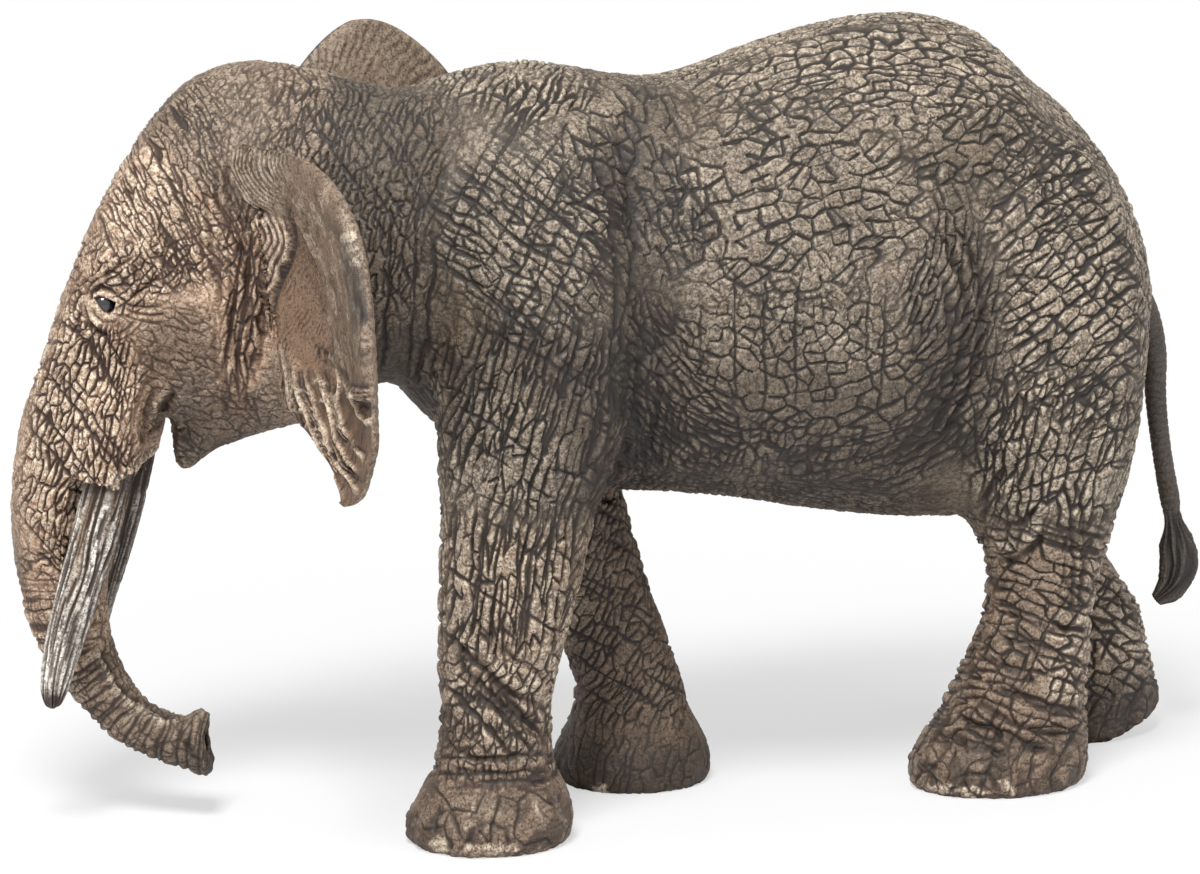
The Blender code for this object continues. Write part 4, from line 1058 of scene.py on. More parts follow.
def new_material(name):
    """A new material, the means to add nodes to it, and its main shader."""
    made = bpy.data.materials.new(name)
    made.use_nodes = True
    return made, Nodes(made.node_tree), made.node_tree.nodes["Principled BSDF"]


# How dark the finest cracks of the paint are
CRAZED = 0.55


def skin_material(name, palette):
    """Paint in three tones, brushed on the ridges, washed into the cracks and speckled."""
    made, nodes, shader = new_material(name)
    maths, mix = nodes.maths, nodes.mix
    place = nodes.where()

    def speckle(scale, detail=2.0):
        inputs = {"Scale": scale, "Detail": detail, "Roughness": 0.6, "Vector": place}
        return nodes.add("TexNoise", inputs).outputs["Fac"]

    def crackle(scale, width):
        new = nodes.add("TexVoronoi", {"Scale": scale, "Vector": bent}, feature="DISTANCE_TO_EDGE")
        return maths("SUBTRACT", 1.0, maths("DIVIDE", new.outputs["Distance"], width), clamp=True)

    wash, ridge, warm, shade = (
        nodes.add("Attribute", {}, attribute_name=key).outputs["Fac"] for key in ("wash", "ridge", "warm", "shade")
    )
    broad = speckle(160.0)
    grain = speckle(1500.0, 3.0)
    fine = speckle(3300.0)
    dark, middle, light = (mix(warm, cool, warmer) for cool, warmer in palette)
    warp = nodes.add("TexNoise", {"Scale": 900.0, "Vector": place}).outputs["Color"]
    bent = nodes.add("VectorMath", {0: warp, 1: (0.0009,) * 3, 2: place}, operation="MULTIPLY_ADD").outputs[0]
    patches = maths("MULTIPLY", maths("SUBTRACT", broad, 0.42), 6.0, clamp=True)
    crazed = maths("MULTIPLY", crackle(1300.0, 0.12), patches)
    brush_noise = maths("SUBTRACT", maths("MULTIPLY", grain, 4.0), 1.35, clamp=True)
    brush = maths("MULTIPLY", ridge, brush_noise, clamp=True)
    colour = mix(brush, middle, light)
    colour = mix(maths("MULTIPLY", maths("SUBTRACT", broad, 0.45), 0.6, clamp=True), colour, middle)
    dots = maths("MULTIPLY", maths("GREATER_THAN", fine, 0.58), 0.72)
    colour = mix(dots, colour, dark)
    colour = mix(maths("MULTIPLY", crazed, CRAZED), colour, dark)
    colour = mix(wash, colour, dark)
    colour = mix(shade, colour, SHADED, "MULTIPLY")
    nodes.feed(shader.inputs["Base Color"], colour)
    nodes.feed(shader.inputs["Roughness"], 0.62)
    bump = nodes.add("Bump", {"Strength": 0.5, "Distance": 0.00016, "Height": grain})
    nodes.feed(shader.inputs["Normal"], bump.outputs["Normal"])
    return made


# Assembly of the skin


WARM_SPOTS = ((80, 400, 80, 220, 0), (150, 260, 90, 110, 0), (240, 310, 50, 100, 0), (60, 560, 50, 120, 0))
# How dark a place is, then its oval
SHADED_SPOTS = (
    (0.45, 350, 220, 110, 190, 0), (0.75, 400, 370, 50, 60, 0), (0.62, 640, 300, 42, 220, 0),
    (0.5, 900, 470, 130, 45, -25), (0.55, 600, 500, 60, 70, 0), (0.42, 530, 400, 110, 110, 0),
    (0.32, 800, 410, 180, 80, 0), (0.42, 955, 320, 45, 160, 0), (0.4, 720, 480, 140, 30, 8),
    (0.30, 800, 240, 150, 130, 0), (0.30, 530, 240, 100, 130, 0), (0.60, 665, 260, 40, 150, 0),
)
HEAD_SHADED_SPOTS = ((163, 362, 36, 48, 0), (163, 362, 44, 40, 0), (210, 420, 70, 40, 0))
HEAD_LIGHT_SPOTS = ((70, 430, 60, 130, 0), (150, 240, 70, 80, 0), (60, 640, 40, 90, 0))
LIGHT_SPOTS = (
    (800, 230, 160, 130, 0), (1075, 280, 80, 200, 0), (540, 200, 90, 130, 0), (500, 600, 80, 160, 0),
    (505, 90, 80, 45, 0), (1060, 460, 80, 90, 0), (870, 60, 250, 70, 0), (500, 560, 70, 200, 0),
    (1110, 640, 60, 110, 0),
)


def paint(f, wash):
    """How warm the paint is, how dark the place, and how much light paint its ridges take."""
    legs, in_head = f["legs"], f["in_head"]
    u, v = wandering(f)
    height = f["body"][:, 2]
    patchy = noise(f["body"], 4.0, 91)
    warm = in_head * np.clip(0.25 + blob(u, v, WARM_SPOTS), 0, 1)
    warm = warm * (1 - legs) + 0.3 * legs + 0.10 * patchy
    shade = 0.62 * in_head * blob(u, v, HEAD_SHADED_SPOTS)
    for depth, *spot in SHADED_SPOTS:
        shade = np.maximum(shade, (1 - in_head) * (1 - legs) * depth * blob(u, v, [spot]))
    foot = legs * step(12, 4, height + 1.5 * noise(f["body"], 3.0, 95))
    blotch = step(-0.25, 0.25, noise(f["body"], 2.6, 93) + 0.4 * noise(f["body"], 1.0, 94))
    # The legs of the far side get painted shade, their feet most; the near feet get blotches of darker paint
    far = on_far_leg(f["labels"])
    shade = np.maximum(shade, foot * np.where(far, 0.95, 0.25 + 0.50 * blotch))
    shade = np.maximum(shade, 0.55 * in_head * step(46, 62, f["trunk"]) * (0.7 + 0.3 * blotch))
    shade = np.maximum(shade, legs * np.where(f["labels"] == 3, 0.4, 0.04))
    shade = np.clip(shade + 0.12 * patchy, 0, 1)
    # Light paint on the ridges, strongest where the painted highlight runs along the crack rims
    ridge = np.clip(1 - wash * 1.3, 0, 1) * (0.66 + 1.5 * f["edge"])
    head_light = 0.5 + 0.5 * blob(u, v, HEAD_LIGHT_SPOTS)
    light = np.where(in_head > 0.5, head_light, 0.30 + 0.58 * blob(u, v, LIGHT_SPOTS))
    ridge = ridge * light * (1 - 0.75 * foot * blotch) + f["lit"]
    ragged = 5.0 * noise(f["body"], 0.7, 99)
    pale = legs * blob(f["u"] + ragged, f["v"] + ragged, PALE_SPOTS) * step(6, 3, height)
    ridge = np.maximum(ridge, 1.3 * pale)
    shade = shade * (1 - np.clip(pale, 0, 1))
    return warm.astype(np.float32), shade.astype(np.float32), ridge.astype(np.float32)


def flatten_seams(points, quads, face_labels):
    """Moves the points where two pieces meet onto the plane of their seam."""
    lowest = np.full(len(points), 99, np.int8)
    highest = np.full(len(points), -1, np.int8)
    for k in range(4):
        np.minimum.at(lowest, quads[:, k], face_labels)
        np.maximum.at(highest, quads[:, k], face_labels)
    rim = np.flatnonzero(lowest != highest)
    head = to_head(points[rim])
    at_neck = highest[rim] == 1
    head[at_neck, 0] = NECK_SEAM
    moved = from_head(head)
    for k, name in enumerate(LEG_NODES):
        moved[highest[rim] == k + 2, 2] = LEG_SEAMS[name][2]
    points = points.copy()
    points[rim] = moved
    return points


def cut_piece(points, quads, face_labels, label, fields, normals, name):
    """One closed piece of the skin, with flat faces over its seams."""
    mine = quads[face_labels == label]
    used = np.unique(mine)
    number = np.full(len(points), -1)
    number[used] = np.arange(len(used))
    mine = number[mine]
    ends = np.concatenate([mine[:, [0, 1]], mine[:, [1, 2]], mine[:, [2, 3]], mine[:, [3, 0]]])
    key = ends[:, 0].astype(np.int64) * len(used) + ends[:, 1]
    back = ends[:, 1].astype(np.int64) * len(used) + ends[:, 0]
    rim = ends[~np.isin(key, back)]
    following = dict(zip(rim[:, 1].tolist(), rim[:, 0].tolist()))
    caps = []
    while following:
        start, at = following.popitem()
        loop = [start]
        while at != start and at in following:
            loop.append(at)
            at = following.pop(at)
        if len(loop) > 2:
            caps.append(np.array(loop, np.int32))
    mesh = write_mesh(name, points[used], mine, caps)
    mesh.normals_split_custom_set_from_vertices(normals[used])
    put_fields(mesh, {key: values[used] for key, values in fields.items()})
    return mesh


# How far the skin lies inside the solids before it is carved, in millimetres
SHRINK = 0.12


def make_skin(material):
    """The skin of torso, head and legs, carved, painted and cut into its pieces."""
    points, quads = base_skin()
    normals = vertex_normals(points, quads)
    points = points - normals * SHRINK

    def broad(points, normals):
        return (broad_height(skin_fields(points, normals)),)

    def fine(points, normals):
        f = skin_fields(points, normals)
        total, wash = fine_height(f, normals)
        lids, lid_wash = shape_eyes(f)
        total, wash = total + lids, np.maximum(wash, lid_wash)
        return total, wash, *paint(f, wash)

    points = points + normals * in_parts(broad, points, normals)[0][:, None]
    normals = vertex_normals(points, quads)
    total, wash, warm, shade, ridge = in_parts(fine, points, normals)
    points = points + normals * total[:, None]
    points[:, 2] = np.maximum(points[:, 2], 0)
    face_labels = split_labels(points[quads].mean(axis=1))
    points = flatten_seams(points, quads, face_labels)
    normals = vertex_normals(points, quads)
    fields = {"wash": wash, "ridge": ridge, "warm": warm, "shade": shade}
    for label, name in enumerate(SKIN_NODES):
        mesh = cut_piece(points, quads, face_labels, label, fields, normals, name + "_skin")
        place(name + "_skin", mesh, [name], "skin_far" if "right_leg" in name else "skin", material)


# Stage


def make_camera():
    """The camera that the photograph was taken with, as fitted to it."""
    camera = bpy.data.cameras.new("camera")
    camera.lens = LENS
    camera.sensor_width = SENSOR
    camera.clip_start = 0.01
    obj = linked("camera", camera)
    obj.location = Vector(EYE_POINT) / 1000
    obj.rotation_euler = Vector(BACK).to_track_quat("Z", "Y").to_euler()
    bpy.context.scene.camera = obj


# How far from the middle the floor turns to plain white, in metres, and how white it is near the figure
FLOOR_FADE = (0.06, 0.20)
FLOOR_GLOW = 0.55
AMBIENT = 0.42
LAMPS = (
    ("key", 9.0, 0.28, (-0.34, -0.45, 0.80), (0, 0, 0.05)),
    ("fill", 1.2, 0.8, (0.7, -0.6, 0.45), (0, 0, 0.05)),
)


def make_stage():
    """A floor that turns to plain white away from the figure."""
    mesh = bpy.data.meshes.new("floor")
    bm = bmesh.new()
    bmesh.ops.create_grid(bm, x_segments=1, y_segments=1, size=3.0)
    bm.to_mesh(mesh)
    bm.free()
    floor = linked("floor", mesh)
    made, nodes, shader = new_material("floor")
    nodes.feed(shader.inputs["Base Color"], (0.9, 0.9, 0.91))
    nodes.feed(shader.inputs["Roughness"], 0.9)
    reach = nodes.add("VectorMath", {0: nodes.where()}, operation="LENGTH").outputs["Value"]
    limits = {"Value": reach, "From Min": FLOOR_FADE[0], "From Max": FLOOR_FADE[1], "To Min": FLOOR_GLOW}
    fade = nodes.add("MapRange", limits, interpolation_type="SMOOTHSTEP").outputs["Result"]
    share = nodes.maths("MULTIPLY", fade, nodes.add("LightPath", {}).outputs["Is Camera Ray"])
    white = nodes.add("Emission", {})
    both = nodes.add("MixShader", {0: share, 1: shader.outputs[0], 2: white.outputs[0]})
    nodes.feed(made.node_tree.nodes["Material Output"].inputs["Surface"], both.outputs[0])
    mesh.materials.append(made)


def make_light():
    """A white surround that lights less than it shows, and two lamps."""
    scene = bpy.context.scene
    scene.world = bpy.data.worlds.new("world")
    scene.world.use_nodes = True
    nodes = Nodes(scene.world.node_tree)
    background = scene.world.node_tree.nodes["Background"]
    nodes.feed(background.inputs["Color"], (1.0, 1.0, 1.0))
    rays = nodes.add("LightPath", {}).outputs
    seen = rays["Is Camera Ray"]
    for other in ("Is Glossy Ray", "Is Transmission Ray"):
        seen = nodes.maths("ADD", seen, rays[other], clamp=True)
    level = nodes.add("MapRange", {"To Min": AMBIENT, "To Max": 1.0, "Value": seen})
    nodes.feed(background.inputs["Strength"], level.outputs["Result"])
    for name, energy, size, place, aim in LAMPS:
        lamp = bpy.data.lights.new(name, "AREA")
        lamp.energy = energy
        lamp.shape = "SQUARE"
        lamp.size = size
        obj = linked(name, lamp)
        obj.location = place
        obj.rotation_euler = (Vector(place) - Vector(aim)).to_track_quat("Z", "Y").to_euler()
    scene.view_settings.view_transform = "Standard"


# Ears, tusks, tail and eyes


def smooth_rows(rows, count):
    """Rows of numbers followed by a smooth curve, as many of them as asked for."""
    rows = np.array(rows, float)
    padded = np.concatenate([rows[:1] * 2 - rows[1:2], rows, rows[-1:] * 2 - rows[-2:-1]])
    t = np.linspace(0, len(rows) - 1, count)
    k = np.clip(t.astype(int), 0, len(rows) - 2)
    t = (t - k)[:, None]
    a, b, c, d = (padded[k + n] for n in range(4))
    return b + t * (c - a) / 2 + t**2 * (2 * a - 5 * b + 4 * c - d) / 2 + t**3 * (3 * b - a - 3 * c + d) / 2


def loops_mesh(name, loops, fields):
    """A closed skin over equal loops of points, its two ends closed by a face each."""
    rows, across, _ = loops.shape
    points = loops.reshape(-1, 3)
    i, j = np.meshgrid(np.arange(rows - 1), np.arange(across), indexing="ij")
    following = (j + 1) % across
    row, next_row = i * across, (i + 1) * across
    quads = np.stack([row + j, row + following, next_row + following, next_row + j], -1).reshape(-1, 4)
    first = np.arange(across)[::-1]
    last = np.arange(across) + (rows - 1) * across
    a, b, c, d = (points[quads[:, k]] for k in range(4))
    volume = np.einsum("ij,ij->i", np.cross(c - a, d - b), a - points.mean(axis=0)).sum()
    if volume < 0:
        quads, first, last = quads[:, ::-1], first[::-1], last[::-1]
    mesh = write_mesh(name, points, quads, [first, last])
    put_fields(mesh, fields)
    return mesh


# Height, then how far the inner and the outer edge of the ear are from its root
EAR_ROWS = (
    (50.2, 22.7, 25.9), (51.0, 17.8, 28.0), (52.7, 11.0, 30.9), (54.4, 5.7, 33.0), (56.6, 1.1, 34.6),
    (59.1, -3.0, 35.3), (62.7, -4.5, 35.5), (68.0, -4.5, 35.1), (73.6, -4.5, 34.1), (79.7, -4.5, 31.6),
    (85.0, -4.5, 27.7), (89.0, -4.5, 23.3), (91.5, -3.9, 19.2), (92.6, 0.7, 14.2),
)
EAR_SPREAD = 35.5
EAR_SIZE = ((270, 200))
# Depth and distance out of the ear's root, low and high
EAR_ROOTS = ((13.44, 12.10), (21.56, 11.70))
EAR_SWEEP = {-1: 21.9, 1: 34.0}
EAR_TWIST = 12.0
EAR_CURLED_LOBE = 3.0
EAR_CUP = {-1: 4.2, 1: 2.0}
EAR_LIFT = {-1: 0.0, 1: 13.5}
EAR_HALF = 0.75

EAR_BAND = (
    (232, 172), (262, 178), (286, 186), (308, 203), (325, 228), (337, 260), (346, 298), (350, 330), (355, 362),
    (362, 392),
)
EAR_BAND_RADII = (26, 30, 29, 27, 24, 23, 22, 21, 16, 9)
EAR_FACE = (
    (291, 210), (303, 226), (313, 258), (322, 295), (326, 324), (333, 346), (322, 366), (300, 370), (281, 352),
    (268, 325), (268, 300), (276, 280), (284, 258), (286, 236),
)
EAR_CREVICE = (((287, 206), (292, 222), (295, 242), (290, 262), (281, 281), (274, 300), (271, 318)),)
EAR_RIDGES = (
    ((272, 319), (280, 354), (287, 391), (292, 424), (307, 451), (329, 478), (342, 498)),
    ((289, 349), (292, 369), (295, 394), (307, 424), (314, 446), (332, 471)),
    ((302, 368), (308, 392), (316, 418), (326, 446), (340, 470)),
    ((316, 372), (322, 392), (329, 414), (333, 434)),
    ((333, 362), (338, 384), (335, 404), (342, 428), (356, 452), (363, 462)),
    ((344, 379), (348, 396), (356, 414), (368, 428), (373, 432)),
    ((331, 420), (335, 440), (346, 462), (358, 474)),
    ((352, 384), (360, 396), (374, 404)),
    ((330, 452), (338, 470), (350, 484), (354, 494)),
    ((292, 396), (300, 390), (310, 396)),
    ((295, 412), (304, 406), (314, 412)), ((300, 428), (310, 420), (320, 428)),
    ((306, 440), (316, 434), (327, 442)), ((314, 454), (323, 448), (333, 456)),
    ((310, 384), (318, 380), (325, 388)), ((318, 402), (325, 398), (332, 406)),
)
EAR_CREASES = (
    ((345, 370), (352, 384), (362, 391), (374, 396)),
    ((352, 397), (361, 404), (373, 409)),
    ((336, 408), (338, 430), (350, 444), (366, 454)),
    ((330, 440), (336, 458), (346, 470), (360, 481)),
    ((298, 372), (303, 396), (312, 420), (322, 446), (336, 472)),
    ((318, 344), (319, 352), (319, 360)), ((323, 346), (325, 354), (326, 364)),
    ((283, 352), (288, 380), (292, 408), (300, 436), (318, 462)),
    ((325, 372), (329, 390), (334, 404)),
)
# Painted shade, greyer, along the outer part of the ear's band, as a line through pixels
EAR_PAINTED_SHADE_LINE = (((326, 214), (341, 240), (350, 272), (356, 310), (360, 350), (365, 386)),)
EAR_RIM_LINE = (((350, 280), (357, 318), (361, 352), (366, 392)),)
# Painted highlights: small light spots on the ear's band, in soft ovals of pixels
EAR_PAINTED_HIGHLIGHTS = ((343, 238, 4, 5, 0), (350, 261, 3, 5, 0), (346, 249, 2, 3, 0))
# Where the lines of the roll bend round, in pixels, how far apart they are, and how they crowd together below
EAR_ROLL_CENTRE = (302, 164)
EAR_ROLL_SPACING = 4.4
EAR_ROLL_CROWDING = 0.30
# The part of the ear's front that carries on the cheek's ropes, how far apart they are, and its face's edge
EAR_ROOT_ZONE = (
    (240, 212), (287, 206), (293, 222), (296, 242), (291, 262), (282, 281), (275, 300), (271, 322), (240, 330),
)
EAR_ROPE_SPACING = 6.5
EAR_RAY_SPACING = 2.2
EAR_FACE_EDGE = (((303, 226), (313, 258), (322, 295), (326, 324)),)


def ear_middle(side, height, reach, upness):
    """The middle of the ear's thickness, in the head's directions, and the way its front face looks."""
    lobe = np.clip(1 - upness / 0.2, 0, 1) * EAR_CURLED_LOBE * (side < 0)
    sweep = np.radians(EAR_SWEEP[side] + EAR_TWIST * upness - lobe)
    root_depth = EAR_ROOTS[0][0] + (EAR_ROOTS[1][0] - EAR_ROOTS[0][0]) * upness
    root_out = EAR_ROOTS[0][1] + (EAR_ROOTS[1][1] - EAR_ROOTS[0][1]) * upness
    share = np.clip(reach / EAR_SPREAD, 0, 1)
    cup = -EAR_CUP[side] * np.sin(math.pi * share) * np.sqrt(np.clip(np.sin(math.pi * upness), 0, 1))
    depth = root_depth - np.sin(sweep) * reach + np.cos(sweep) * cup
    out = side * (root_out + np.cos(sweep) * reach + np.sin(sweep) * cup)
    raised = 1 - (1 - np.clip(share / 0.5, 0, 1)) ** 2
    forward = np.stack([np.cos(sweep), side * np.sin(sweep), np.zeros_like(sweep)], -1)
    return np.stack([depth, out, height + EAR_LIFT[side] * raised], -1), forward


def relief_of_lines(u, v, lines, half_width):
    """1 on any of some lines through pixels, falling to 0 away from them."""
    total = np.zeros(len(u), np.float32)
    for line in lines:
        d, along = line_distance(u, v, line)
        ends = 0.4 + 0.6 * step(0, 0.2, along) * step(1, 0.8, along)
        total = np.maximum(total, np.exp(-((d / half_width) ** 2)) * ends)
    return total


def ear_front(u, v, flat):
    """The relief of the ear's front, then its wash, light paint with painted highlights, warmth and shade, from
    where it is seen.
    """
    d, along = line_distance(u, v, EAR_BAND)
    d = d + 1.6 * noise(flat, 5.0, 301)
    radius = np.interp(along, np.linspace(0, 1, len(EAR_BAND_RADII)), EAR_BAND_RADII)
    band = np.clip(1 - (d / radius) ** 3, 0, 1) ** 0.5
    face = step(-0.1, 0.45, inside_shape(u, v, EAR_FACE) * PIXEL + 0.15 * noise(flat, 2.0, 303))
    low = step(350, 392, v + 0.25 * (340 - u))
    ridges = relief_of_lines(u + 1.6 * noise(flat, 3.0, 305), v, EAR_RIDGES, 2.6)
    ridges = ridges * np.clip(0.85 + 0.45 * noise(flat, 2.6, 371), 0, 1.1)
    creases = relief_of_lines(u + 1.0 * noise(flat, 1.5, 307), v, EAR_CREASES, 2.2)
    # The crevice where the ear meets the cheek, kept shallow and darkened with wash and painted shade
    crevice = relief_of_lines(u, v, EAR_CREVICE, 4.2)
    # Painted shade along the outer band, which also makes it cooler
    painted_shade_band = relief_of_lines(u + 5.0 * noise(flat, 2.5, 309), v, EAR_PAINTED_SHADE_LINE, 6.0)
    rim_line = relief_of_lines(u + 1.5 * noise(flat, 2.0, 308), v, EAR_RIM_LINE, 2.0)
    hatch_line = (u * 0.86 + v * 0.5) / 4.4 + 0.55 * noise(flat, 2.5, 311)
    hatch = off_line(hatch_line) * 2
    hatch = hatch * (0.7 + 0.4 * noise(flat, 1.2, 313))
    wrinkle = noise(flat * np.array([1, 1, 0.6]), 0.9, 321)
    # Lines that bend round with the roll where it leaves the head
    below = np.clip(v - EAR_ROLL_CENTRE[1], 0, None)
    roll = np.hypot(u - EAR_ROLL_CENTRE[0], below) + EAR_ROLL_CROWDING * below
    here = step(296, 262, u) * step(222, 204, v) * step(6, 16, roll) * (1 - face)
    roll = roll / EAR_ROLL_SPACING + 0.45 * noise(flat, 3.0, 331)
    roll_groove = crack(off_line(roll), 0.40) * here * (0.8 + 0.35 * noise(flat, 2.0, 333))
    lower_band = step(290, 350, v) * (1 - face) * (1 - low)
    scales = np.abs(noise(flat, 1.7, 343))
    pits = step(0.28, 0.05, np.abs(noise(flat, 1.3, 349))) * step(0.0, 0.4, noise(flat, 4.0, 351))
    pits = pits * (1 - face) * (1 - low)
    rooted = step(-0.2, 1.0, inside_shape(u, v, EAR_ROOT_ZONE) * PIXEL) * step(208, 226, v)
    rope_line = line_distance(u, v, EAR_CREVICE[0])[0] / EAR_ROPE_SPACING + 0.6 * noise(flat, 3.0, 361)
    rope = off_line(rope_line) * 2 * (0.75 + 0.35 * noise(flat, 1.4, 363))
    front = 1.35 * band * (1 - 0.9 * face) * (1 - rooted) - 0.35 - 0.35 * face - 0.3 * crevice
    front += rooted * (0.30 + 0.35 * np.sqrt(np.clip(rope, 0, 1)))
    front += low * (0.70 * ridges + 0.08 * wrinkle) - (0.12 + 0.25 * low) * creases
    front += 0.20 * face * (hatch - 0.5) + 0.09 * noise(flat, 1.6, 341) * band - 0.26 * roll_groove
    front += 0.25 * scales * lower_band - 0.25 * rim_line - 0.10 * pits
    # Painted highlights on the band: light paint, with the wash taken out under them
    painted_highlight = blob(u, v, EAR_PAINTED_HIGHLIGHTS)
    wash = 0.8 * creases + 0.8 * roll_groove + 0.75 * face * step(0.40, 0.8, hatch) + 1.0 * crevice
    wash += 0.9 * rooted * step(0.45, 0.15, rope) + 0.5 * face * relief_of_lines(u, v, EAR_FACE_EDGE, 3.0)
    hollow = low * step(0.6, 0.15, ridges)
    wash += hollow * (0.50 + 0.2 * wrinkle + 0.3 * noise(flat, 2.2, 369)) + 0.6 * rim_line + 0.45 * pits
    # Creases that run down the lobe, across its folds
    ray_line = flat[:, 0] / EAR_RAY_SPACING + 0.6 * noise(flat, 3.0, 365)
    ray = crack(off_line(ray_line) * EAR_RAY_SPACING, 0.42) * np.clip(low + lower_band, 0, 1)
    ray = ray * np.clip(0.5 + 0.8 * noise(flat, 2.0, 367), 0, 1)
    front -= 0.14 * ray
    wash += 0.45 * ray
    wash += 0.7 * lower_band * step(0.25, 0.05, scales)
    plain = 0.10 + 0.35 * step(-0.1, 0.5, noise(flat, 1.6, 347)) * (1 - face)
    ridge = plain * (1 - low) + 1.3 * low * ridges + 2 * painted_highlight
    ridge += 0.5 * here * (1 - roll_groove) + 0.9 * rooted * rope
    warm = 0.30 + 0.40 * low + 0.55 * face - 0.3 * painted_shade_band + 0.6 * rooted
    shade = 0.36 * face * (1 - low) + 0.5 * painted_shade_band * (1 - low) + 0.10
    return front, np.clip(wash, 0, 1) * (1 - painted_highlight), np.clip(ridge, 0, 2), warm, np.clip(shade, 0, 1)


def make_ear(side, node, material):
    """An ear: a slab with its relief on the front, a rolled rim and streaks on the rear."""
    rows, across = EAR_SIZE
    table = smooth_rows(EAR_ROWS, rows)
    height = np.repeat(table[:, :1], across, 1)
    upness = (height - EAR_ROWS[0][0]) / (EAR_ROWS[-1][0] - EAR_ROWS[0][0])
    even = np.linspace(0, 1, across)
    run = ((1 - np.cos(math.pi * even)) / 2 * 0.5 + even * 0.5)[None, :]
    lobes = 1 + 0.03 * np.clip(1 - upness / 0.45, 0, 1) * np.sin(11 * math.pi * upness)
    reach = table[:, 1:2] + (table[:, 2:3] * lobes - table[:, 1:2]) * run
    run = np.repeat(run, rows, 0)
    middle, forward = ear_middle(side, height, reach, upness)
    twin, twin_forward = ear_middle(-1, height, reach, upness)
    flat = np.stack([reach, np.zeros_like(reach), height], -1).reshape(-1, 3)
    front = np.full(rows * across, 0.3)
    # The relief is drawn where it will be seen, so it is worked out again once it stands up
    for _ in range(3):
        seen = (twin + twin_forward * (EAR_HALF + front).reshape(rows, across, 1)).reshape(-1, 3)
        u, v, _ = to_pixels(from_head(seen))
        u, v = u.astype(np.float32), v.astype(np.float32)
        front, wash_front, ridge_front, warm_front, shade_front = ear_front(u, v, flat)
    # Streaks that fan out from the root over the rear
    fan = np.arctan2(height.ravel() - 62, reach.ravel() + 14)
    streak_line = fan * 30 + 0.45 * noise(flat, 7.0, 351) + 0.22 * noise(flat, 1.5, 352)
    streak = crack(off_line(streak_line), 0.34) * (0.7 + 0.5 * noise(flat, 2.2, 353))
    rim = np.exp(-((1 - run.ravel()) * 9) ** 2)
    rear = 0.15 + 0.45 * rim - 0.16 * streak + 0.06 * noise(flat, 0.9, 355)
    ends = np.sqrt(np.clip(1 - (2 * run - 1) ** 6, 0, 1))
    ends = (0.2 + 0.8 * ends).ravel()
    slab = np.sqrt(np.clip(1 - np.abs(2 * upness - 1) ** 12, 0.03, 1)).ravel()
    front = (EAR_HALF + front) * ends * slab
    rear = (EAR_HALF + rear) * ends * slab
    front_points = middle + forward * front.reshape(rows, across, 1)
    rear_points = middle - forward * rear.reshape(rows, across, 1)
    loops = np.concatenate([front_points, rear_points[:, ::-1]], axis=1)
    loops = from_head(loops.reshape(-1, 3)).reshape(loops.shape)

    def both(front_value, rear_value):
        rear_value = np.broadcast_to(rear_value, rows * across).reshape(rows, across)
        return np.concatenate([front_value.reshape(rows, across), rear_value[:, ::-1]], axis=1)

    wash_rear = np.clip(0.75 * streak * (0.6 + 0.4 * noise(flat, 2.5, 361)), 0, 1)
    fields = {
        "wash": both(wash_front, wash_rear),
        "ridge": both(ridge_front, 0.35),
        "warm": both(warm_front, 0.30),
        "shade": both(shade_front, 0.16),
    }
    mesh = loops_mesh(node + "_skin", loops, fields)
    place(node + "_skin", mesh, [node], "skin", material)


# Depth, distance out, height and radius of a tusk, from its root to its tip
TUSK_ROWS = (
    (38.1, 6.4, 59.5, 2.4), (40.4, 7.5, 51.0, 2.9), (42.3, 8.3, 44.1, 3.1), (44.0, 9.1, 36.7, 3.04),
    (45.8, 9.9, 28.7, 2.7), (47.2, 10.55, 21.3, 2.05), (47.6, 10.8, 18.2, 1.2), (47.65, 10.85, 17.4, 0.3),
)
TUSK_SIZE = ((360, 120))


def tube(rows, size, side=1, bend=np.array([0.0, 1.0, 0.0])):
    """A path through rows of numbers: its points and sizes, and the directions, angles and lengths for loops."""
    table = smooth_rows(rows, size[0])
    points = table[:, :3] * np.array([1, side, 1])
    way = np.gradient(points, axis=0)
    way /= np.linalg.norm(way, axis=1, keepdims=True) + 1e-9
    first = np.cross(way, bend)
    first /= np.linalg.norm(first, axis=1, keepdims=True)
    second = np.cross(way, first)
    angle = np.arange(size[1]) * 2 * math.pi / size[1]
    ways = np.cos(angle)[None, :, None] * first[:, None] + np.sin(angle)[None, :, None] * second[:, None]
    along = np.concatenate([[0], np.cumsum(np.linalg.norm(np.diff(points, axis=0), axis=1))])
    return points, table[:, 3:], ways, angle, along


def tube_noise(across, length, radius):
    """Noise over a tube, from the size of its bumps, a seed and how much longer they are along the tube."""
    flat = np.stack([np.cos(across) * radius, np.sin(across) * radius, length], -1).reshape(-1, 3)

    def rough(size, seed, squeeze=1.0):
        return noise(flat * np.array([1, 1, squeeze]), size, seed).reshape(across.shape)

    return rough


# How many grooves go round a tusk, then in millimetres the length of their parts, their width and depth, and how
# dark they are
TUSK_GROOVES = ((13, 5.0, 0.40, 0.34, 1.0), (19, 3.4, 0.30, 0.24, 0.9), (29, 2.2, 0.22, 0.14, 0.75))
# How far back a tusk leaves its lip of the line that the rows give; its root and its tip are on the line
TUSK_BACK = 1.4
TUSK_RADIUS = 2.9


